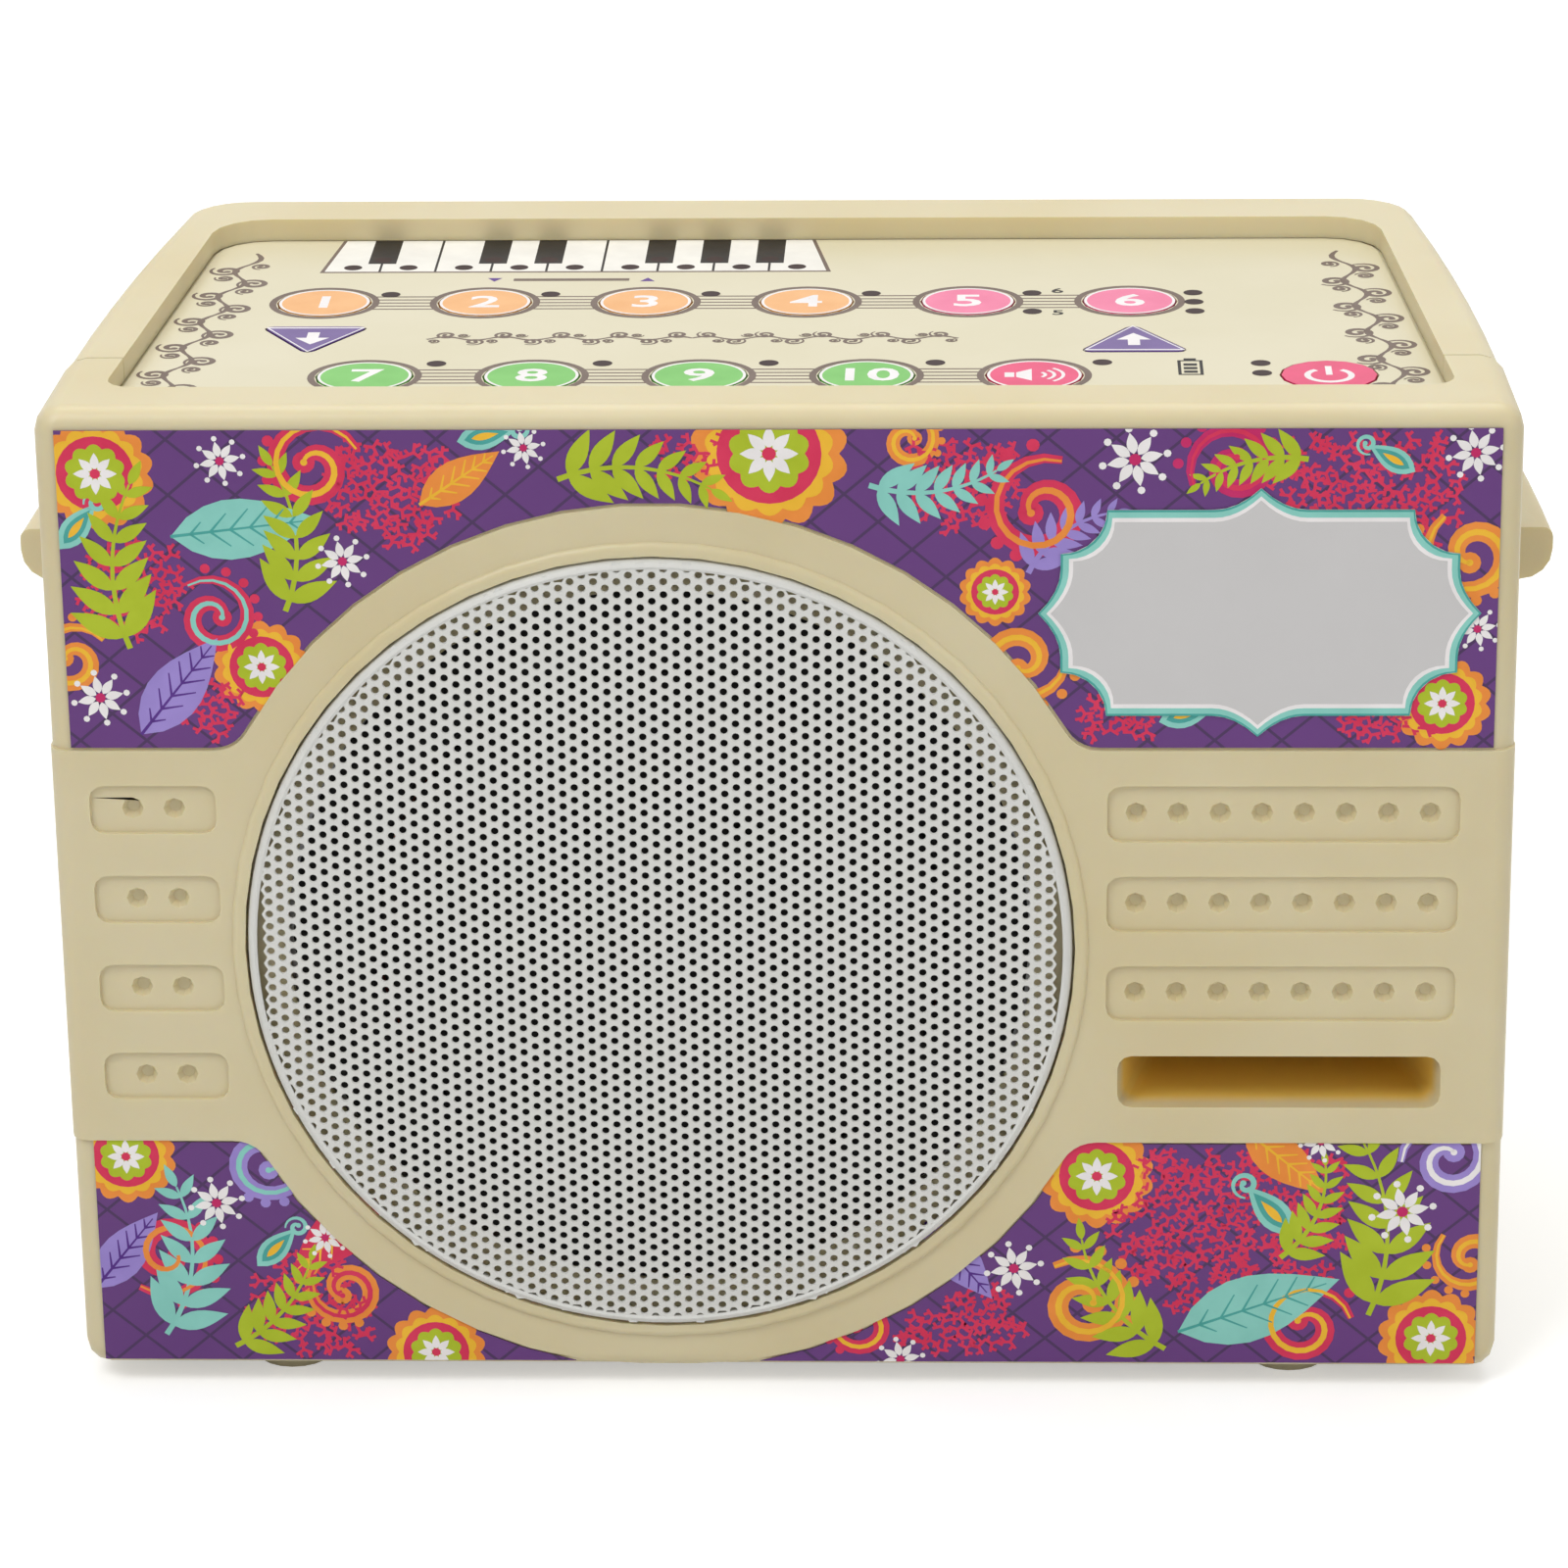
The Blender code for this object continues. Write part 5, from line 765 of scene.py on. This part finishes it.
def triangle(x, y, way, size):
    """Triangle of the arrow keys about its centre, as a share of their size."""
    half, length = 8.55 * size, 7.25 * size
    return [(x - way * half, y - way * length), (x + way * half, y - way * length), (x, y + way * length)]


def figure_outlines(text, x, y, size):
    """Flat mesh faces of plain figures, as outlines about a centre."""
    curve = bpy.data.curves.new("figures", "FONT")
    curve.body = text
    curve.size = size
    curve.align_x = "CENTER"
    curve.align_y = "CENTER"
    curve.resolution_u = 3
    curve.offset = 0.02 * size
    guide = bpy.data.objects.new("figures", curve)
    mesh = bpy.data.meshes.new_from_object(guide)
    outlines = [[(x + mesh.vertices[i].co.x * 1.15, y + mesh.vertices[i].co.y) for i in face.vertices]
                for face in mesh.polygons]
    bpy.data.objects.remove(guide)
    bpy.data.curves.remove(curve)
    return outlines


def filigree(art, x, y, length, angle, hand, size, name):
    """Waving stem with large scrolls on alternate sides and a small one opposite each."""
    along = Vector((math.cos(angle), math.sin(angle)))
    across = Vector((-along.y, along.x)) * hand
    pitch = 2.7 * size
    path, widths = [], []
    for i in range(61):
        way = length * i / 60
        place = Vector((x, y)) + along * way + across * 0.55 * size * math.sin(math.pi * way / pitch)
        path.append(tuple(place))
        widths.append(0.45 + 0.2 * size * abs(math.sin(math.pi * way / pitch)))
    art[name] += [(outline, 0) for outline in ribbon(path, widths)]
    for i in range(int(length / pitch)):
        side = 1 if i % 2 == 0 else -1
        way = pitch * (i + 0.5)
        eye = Vector((x, y)) + along * way + across * side * 1.1 * size
        start = angle + math.pi * (0.5 + 0.2 * side)
        art[name] += [(q, 1) for q in scroll(*eye, size, start, 0.4 * size, side * hand, 1.45)]
        eye = Vector((x, y)) + along * (way + 0.4 * pitch) - across * side * 0.9 * size
        start = angle + math.pi * (0.7 - 0.3 * side)
        art[name] += [(q, 2) for q in scroll(*eye, 0.6 * size, start, 0.3 * size, -side * hand, 1.4)]


def keypad_art():
    """Every print of the keypad film, by ink."""
    art = {name: [] for name in INKS}
    for keys, end, depth in ((KEY_ROW_BACK, 54.9, 69.4), (KEY_ROW_FRONT, 49.5, 28.8)):
        for row in range(5):
            level = depth + (row - 2) * STAFF_STEP
            reach = math.sqrt(STAFF_REACH ** 2 - (level - depth) ** 2)
            for i, (x, _) in enumerate(keys):
                stop = keys[i + 1][0] - reach if i + 1 < len(keys) else min(end, x + reach)
                if stop - x - reach > 0.5:
                    line = box_outline(x + reach, stop, level - STAFF_HALF_WIDTH, level + STAFF_HALF_WIDTH)
                    art["umber"].append((line, 0))
    for x, y in KEY_ROW_BACK + KEY_ROW_FRONT:
        art["umber"] += [(q, 1) for q in band(*[spot(x, y, radius, 48) for radius in KEY_RING])]
    for x, y in light_places():
        art["window"].append((spot(x, y, WINDOW_RADIUS), 3))
    piano = [(-77.7, 87), (6.2, 87), (3.2, PIANO_BACK), (-75.6, PIANO_BACK)]
    inner = [(-77.0, PIANO_FRONT), (5.4, PIANO_FRONT), (2.6, PIANO_BACK), (-75.0, PIANO_BACK)]
    art["umber"].append((piano, 0))
    art["paper"].append((inner, 1))
    for i in range(8):
        x = PIANO_X + PIANO_PITCH * (i + 0.5)
        full = i in (1, 4)
        art["black"].append((box_outline(x - 0.2, x + 0.2, PIANO_FRONT, PIANO_BACK if full else 92.5), 2))
        if not full:
            art["black"].append((box_outline(x - 2.3, x + 2.3, 92.3, PIANO_BACK), 2))
    for x, y in piano_lights():
        art["window"].append((spot(x, y, 1.5), 3))
    art["umber"].append((box_outline(-45.5, -26.6, 82.0, 83.4), 1))
    art["violet"] += [(triangle(-48.6, 82.7, -1, 0.14), 1), (triangle(-23.6, 82.7, 1, 0.14), 1)]
    battery = band(box_outline(61.3, 65.2, 28.8, 36.6), box_outline(61.8, 64.7, 29.3, 36.1))
    art["black"] += [(q, 1) for q in battery]
    art["black"].append((box_outline(62.3, 64.2, 36.6, 37.6), 1))
    art["black"] += [(box_outline(62.2, 64.3, y, y + 1.2), 1) for y in (29.9, 31.8, 33.7)]
    for side in (-1, 1):
        filigree(art, side * 95.5, 19, 80, math.pi / 2 + side * 0.075, side, 2.7, "umber")
    for hand in (-1, 1):
        filigree(art, -14.8, 49.3, 42, 0 if hand > 0 else math.pi, hand, 1.7, "umber")
    for i, text in enumerate(("6", "5")):
        for outline in figure_outlines(text, KEY_ROW_BACK[4][0] + 14.4, 75.4 - i * 12.5, 3.6):
            art["black"].append((outline, 1))
    return art


def key_symbol(node):
    """White outlines on one key: its figure or its sign."""
    kind, where = node.rsplit("_", 1)
    if kind == "key_back_row":
        x, y = KEY_ROW_BACK[int(where) - 1]
        return figure_outlines(where, x, y, FIGURE_SIZE)
    if kind == "key_front_row" and where != "5":
        x, y = KEY_ROW_FRONT[int(where) - 1]
        return figure_outlines(str(int(where) + 6), x, y, FIGURE_SIZE)
    if node == "key_front_row_5":
        x, y = KEY_ROW_FRONT[4]
        shapes = [box_outline(x - 4.6, x - 3.1, y - 1.2, y + 1.2),
                  [(x - 2.8, y - 1.2), (x - 0.4, y - 3.1), (x - 0.4, y + 3.1), (x - 2.8, y + 1.2)]]
        for reach in (1.6, 3.0, 4.4):
            shapes += ribbon(arc(x + 0.1, y, reach, -50, 12.5, 9), [0.55] * 9)
        return shapes
    if node == "key_power":
        x, y = POWER_KEY
        circle = ribbon(arc(x, y - 0.4, 3.4, 125, 14.5, 21), [1.0] * 21)
        return circle + [box_outline(x - 0.5, x + 0.5, y - 0.2, y + 4.4)]
    x, y = DOWN_KEY if node == "key_down" else UP_KEY
    way = -1 if node == "key_down" else 1
    base = y - way * 1.6
    arrow = [box_outline(x - 0.95, x + 0.95, min(base - 2.4, base + 2.4), max(base - 2.4, base + 2.4)),
             [(x - 2.7, base + way * 0.6), (x + 2.7, base + way * 0.6), (x, base + way * 4.2)]]
    return arrow + band(triangle(x, y, way, 0.93), triangle(x, y, way, 0.86))


# Sizes and colours that a user may change

class TanpuraSettings(bpy.types.PropertyGroup):
    """Sizes and colours of the dressing."""

    case_colour: bpy.props.StringProperty(
        name="Case colour", description="Moulded cream as an sRGB hex value", default="#D6CAA5")
    grille_colour: bpy.props.StringProperty(
        name="Grille colour", description="Powder coat as an sRGB hex value", default="#DADAD5")
    hole_pitch: bpy.props.FloatProperty(
        name="Hole pitch", description="Distance between neighbouring perforations",
        default=0.00205, unit="LENGTH", subtype="DISTANCE")
    hole_radius: bpy.props.FloatProperty(
        name="Hole radius", description="Radius of one perforation",
        default=0.00056, unit="LENGTH", subtype="DISTANCE")
    lattice_pitch: bpy.props.FloatProperty(
        name="Lattice pitch", description="Spacing of the label's diamonds",
        default=0.0088, unit="LENGTH", subtype="DISTANCE")
    edge_easing: bpy.props.FloatProperty(
        name="Edge easing", description="Radius that softens the moulded edges, in mm", default=0.35)


class TANPURA_OT_casing(bpy.types.Operator):
    """Dresses both shells, the feet and the case screws"""

    bl_idname = "tanpura.casing"
    bl_label = "Casing"

    def execute(self, context):
        ease = context.scene.tanpura.edge_easing
        smooth_copy("front_shell", SHELL_SMOOTH, ease)
        smooth_copy("rear_shell", SHELL_SMOOTH)
        for node in ("foot_front_left", "foot_front_right", "foot_back_left", "foot_back_right"):
            smooth_copy(node)
        for i in range(1, 5):
            smooth_copy(f"case_screw_{i}")
        return {"FINISHED"}


class TANPURA_OT_grille(bpy.types.Operator):
    """Makes the domed grille with its perforations and rolled rim"""

    bl_idname = "tanpura.grille"
    bl_label = "Perforated grille"

    def execute(self, context):
        chosen = context.scene.tanpura
        pitch, hole = chosen.hole_pitch / MM, chosen.hole_radius / MM
        shape = bmesh.new()
        rings = []
        corner = pitch / math.sqrt(3)
        edge = hole + HOLE_EDGE
        for radii, y in (((corner, pitch / 2), 0.0), ((edge, edge), 0.0), ((hole, hole), HOLE_DEPTH)):
            ring = []
            for i in range(12):
                angle = math.radians(30 * i)
                reach = radii[i % 2]
                x, z = reach * math.cos(angle), reach * math.sin(angle)
                ring.append(shape.verts.new((x * MM, y * MM, z * MM)))
            rings.append(ring)
        for outer, inner in zip(rings, rings[1:]):
            for i in range(12):
                j = (i + 1) % 12
                shape.faces.new((outer[i], outer[j], inner[j], inner[i]))
        places = []
        column_step = pitch * math.sqrt(3) / 2
        columns = int(GRILLE_COLUMN_REACH / column_step)
        for i in range(-columns, columns + 1):
            for j in range(-GRILLE_ROWS, GRILLE_ROWS + 1):
                x, z = i * column_step, (j + (i % 2) / 2) * pitch
                if math.hypot(x, z) < GRILLE_HOLE_REACH:
                    places.append((x * MM, 0, z * MM))
        material = finish("painted_grille")
        cell = as_mesh("grille_cell", shape)
        mesh = repeat("grille", places, cell, material, GRILLE_WELD, 0.0, 1)
        for vertex in mesh.vertices:
            x, z = vertex.co.x / MM, vertex.co.z / MM
            share = min(1.0, math.hypot(x, z) / GRILLE_DOME_RADIUS)
            level = GRILLE_FRONT + GRILLE_SINK * share ** 2
            vertex.co = front_at(x + RING[0], z + RING[1], level + vertex.co.y / MM)
        piece = finish_mesh("speaker_grille_perforated", mesh, material, "case",
                            GRILLE_SMOOTH, "speaker_grille")
        if len(piece.data.polygons) < 1000:
            raise RuntimeError("the perforations weren't made")
        rim = bmesh.new()
        loops = []
        for i in range(RIM_STEPS):
            cos, sin = math.cos(2 * math.pi * i / RIM_STEPS), math.sin(2 * math.pi * i / RIM_STEPS)
            loops.append([rim.verts.new(front_at(RING[0] + radius * cos, RING[1] + radius * sin, depth))
                          for radius, depth in GRILLE_RIM])
        for a, b in zip(loops, loops[1:] + loops[:1]):
            for k in range(len(GRILLE_RIM)):
                n = (k + 1) % len(GRILLE_RIM)
                rim.faces.new((a[k], b[k], b[n], a[n]))
        bmesh.ops.recalc_face_normals(rim, faces=rim.faces)
        finish_piece("speaker_grille_rim", rim, material, "case", PIECE_SMOOTH)
        return {"FINISHED"}


class TANPURA_OT_labels(bpy.types.Operator):
    """Prints the labels' lattice, motifs and lace"""

    bl_idname = "tanpura.labels"
    bl_label = "Front labels"

    def execute(self, context):
        for node in ("upper_label", "lower_label_left", "lower_label_right"):
            dress_node(node)
        edges = [(front_at(side * LABEL_HALF_WIDTH, 0, 0), (side, 0, 0)) for side in (1, -1)]
        edges += [(front_at(0, LABEL_HIGH, 0), (0, 0, 1)), (front_at(0, LABEL_LOW, 0), (0, 0, -1))]
        for name, groups in front_art().items():
            groups = [(outline, layer) for outline, layer in groups
                      if not all(over_land(x, z, PRINT_MARGIN) for x, z in outline)]
            if not groups:
                continue
            shape = print_mesh(groups, front_at, LABEL_FRONT, 1)
            clip(shape, edges)
            finish_piece("label_print_" + name, shape, ink(name), "case")
        rolls = random.Random(7)
        places = []
        for x, z, radius in LACE:
            count = int(radius * radius * LACE_DENSITY)
            for i in range(count):
                rise = (i % LACE_STEPS) * INK / 12
                reach = radius * math.sqrt((i + 0.5) / count)
                angle = i * LACE_TURN + rolls.uniform(-0.2, 0.2)
                px, pz = x + reach * math.cos(angle), z + reach * math.sin(angle)
                if not over_land(px, pz, LACE_MARGIN):
                    places.append(front_at(px, pz, LABEL_FRONT - LACE_GAP - rise))
        mesh = repeat("lace", places, branch_mesh(), ink("crimson"), 0.0, 2 * math.pi, 3)
        finish_mesh("label_print_lace", mesh, ink("crimson"), "case")
        return {"FINISHED"}


class TANPURA_OT_plaque(bpy.types.Operator):
    """Borders the bare plaque in white, aqua and teal"""

    bl_idname = "tanpura.plaque"
    bl_label = "Plaque"

    def execute(self, context):
        dress_node("name_plaque")
        bands = (("teal", 0.0, -0.35), ("aqua", -0.35, -1.25), ("white", -1.25, -1.9))
        for name, outer, inner in bands:
            groups = [(quad, 0) for quad in band(plaque_outline(outer), plaque_outline(inner))]
            shape = print_mesh(groups, front_at, PLAQUE_FRONT, 1)
            finish_piece("plaque_border_" + name, shape, ink(name), "case")
        return {"FINISHED"}


class TANPURA_OT_keypad(bpy.types.Operator):
    """Prints the keypad film: rings, staves, keyboard drawing, scrolls and light windows"""

    bl_idname = "tanpura.keypad"
    bl_label = "Keypad film"

    def execute(self, context):
        dress_node("panel_overlay")
        dress_node("panel_plate")
        for name, groups in keypad_art().items():
            if groups:
                shape = print_mesh(groups, top_at, OVERLAY_TOP, -1)
                finish_piece("keypad_print_" + name, shape, ink(name), "case")
        return {"FINISHED"}


class TANPURA_OT_keys(bpy.types.Operator):
    """Dresses each key and prints its figure or sign"""

    bl_idname = "tanpura.keys"
    bl_label = "Keys"

    def execute(self, context):
        for node in sorted(NODES):
            if not node.startswith("key_"):
                continue
            smooth_copy(node)
            groups = [(outline, 0) for outline in key_symbol(node)]
            if node[-1].isdigit():
                row = KEY_ROW_BACK if "back" in node else KEY_ROW_FRONT
                x, y = row[int(node[-1]) - 1]
                groups += [(q, 0) for q in band(*[spot(x, y, radius, 48) for radius in KEY_EDGE])]
            shape = print_mesh(groups, top_at, KEY_TOP, -1)
            body = NODES[node]["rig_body"]
            finish_piece(node + "_print", shape, ink("white"), body)
        return {"FINISHED"}


class TANPURA_OT_inside(bpy.types.Operator):
    """Dresses the speaker, boards, jacks, battery and leads"""

    bl_idname = "tanpura.inside"
    bl_label = "Inner parts"

    def execute(self, context):
        for node in ("phone_jack", "phone_jack_nut", "power_jack", "speaker_cone", "speaker_dust_cap"):
            smooth_copy(node)
        for node in NODES:
            if not NODES[node].get("dressed"):
                dress_node(node)
        return {"FINISHED"}


def dress_node(node):
    """Gives a CAD node its finish."""
    piece = NODES[node]
    piece.data.materials.clear()
    piece.data.materials.append(finish(SLOTS[node]))
    piece["dressed"] = True


def seen_directly(tree):
    """1 where the surround is seen, by the camera or in a gloss, and 0 where it only lights."""
    rays = add_node(tree, "ShaderNodeLightPath")
    seen = rays.outputs["Is Camera Ray"]
    for name in ("Is Glossy Ray", "Is Transmission Ray"):
        seen = calculate(tree, "MAXIMUM", seen, rays.outputs[name])
    return seen


class TANPURA_OT_stage(bpy.types.Operator):
    """Makes the floor, the lights, the white surround and the camera"""

    bl_idname = "tanpura.stage"
    bl_label = "Stage"

    def execute(self, context):
        scene = context.scene
        shape = bmesh.new()
        bmesh.ops.create_grid(shape, x_segments=1, y_segments=1, size=4.0)
        mesh = as_mesh("floor", shape)
        floor = linked("floor", mesh)
        made, tree = new_material("painted_board_white")
        matt = add_node(tree, "ShaderNodeBsdfDiffuse", None, {"Color": (0.8, 0.8, 0.8, 1)})
        lift = calculate(tree, "MULTIPLY", seen_directly(tree), FLOOR_GLOW)
        glow = add_node(tree, "ShaderNodeEmission", None, {"Strength": lift})
        both = add_node(tree, "ShaderNodeAddShader", None, {0: matt.outputs[0], 1: glow.outputs[0]})
        add_node(tree, "ShaderNodeOutputMaterial", None, {"Surface": both.outputs[0]})
        mesh.materials.append(made)
        world = bpy.data.worlds.new("white_surround")
        world.use_nodes = True
        world.node_tree.nodes.clear()
        tree = world.node_tree
        level = add_node(tree, "ShaderNodeMapRange", None, {
            "Value": seen_directly(tree), "To Min": WORLD_LIGHT, "To Max": 1.0})
        back = add_node(tree, "ShaderNodeBackground", None, {
            "Color": (1, 1, 1, 1), "Strength": level.outputs[0]})
        add_node(tree, "ShaderNodeOutputWorld", None, {"Surface": back.outputs[0]})
        scene.world = world
        for name, place, power, size in LAMPS:
            lamp = bpy.data.lights.new(name, "AREA")
            lamp.energy = power
            lamp.size = size
            holder = linked(name, lamp)
            holder.location = place
            aim = LAMP_AIM - Vector(place)
            holder.rotation_euler = aim.to_track_quat("-Z", "Y").to_euler()
        scene.camera = make_camera()
        scene.view_settings.view_transform = "Standard"
        return {"FINISHED"}


def make_camera():
    """Camera at the photograph's viewing angle."""
    yaw, pitch, roll = CAMERA_YAW, CAMERA_PITCH, CAMERA_ROLL
    right = Vector((math.cos(yaw), math.sin(yaw), 0))
    forward = Vector((-math.sin(yaw) * math.cos(pitch), math.cos(yaw) * math.cos(pitch), -math.sin(pitch)))
    up = right.cross(forward)
    right, up = math.cos(roll) * right + math.sin(roll) * up, math.cos(roll) * up - math.sin(roll) * right
    turn = Matrix((right, up, -forward)).transposed().to_4x4()
    data = bpy.data.cameras.new("camera")
    data.sensor_width = 36.0
    data.lens = CAMERA_LENS
    camera = linked("camera", data)
    camera.matrix_world = Matrix.Translation(CAMERA_PLACE) @ turn
    return camera


class TANPURA_PT_panel(bpy.types.Panel):
    """Lists the steps that dress the object"""

    bl_idname = "TANPURA_PT_panel"
    bl_label = "Electronic tanpura"
    bl_space_type = "VIEW_3D"
    bl_region_type = "UI"
    bl_category = "Tanpura"

    def draw(self, context):
        for name in TanpuraSettings.__annotations__:
            self.layout.prop(context.scene.tanpura, name)
        for step in STEPS:
            self.layout.operator(step.bl_idname)


STEPS = (TANPURA_OT_stage, TANPURA_OT_casing, TANPURA_OT_grille, TANPURA_OT_labels, TANPURA_OT_plaque,
         TANPURA_OT_keypad, TANPURA_OT_keys, TANPURA_OT_inside)


def register():
    for kind in (TanpuraSettings, *STEPS, TANPURA_PT_panel):
        bpy.utils.register_class(kind)
    bpy.types.Scene.tanpura = bpy.props.PointerProperty(type=TanpuraSettings)


def unregister():
    del bpy.types.Scene.tanpura
    for kind in (TANPURA_PT_panel, *reversed(STEPS), TanpuraSettings):
        bpy.utils.unregister_class(kind)


def main():
    register()
    for step in STEPS:
        group, name = step.bl_idname.split(".")
        getattr(getattr(bpy.ops, group), name)()


if __name__ == "__main__":
    main()
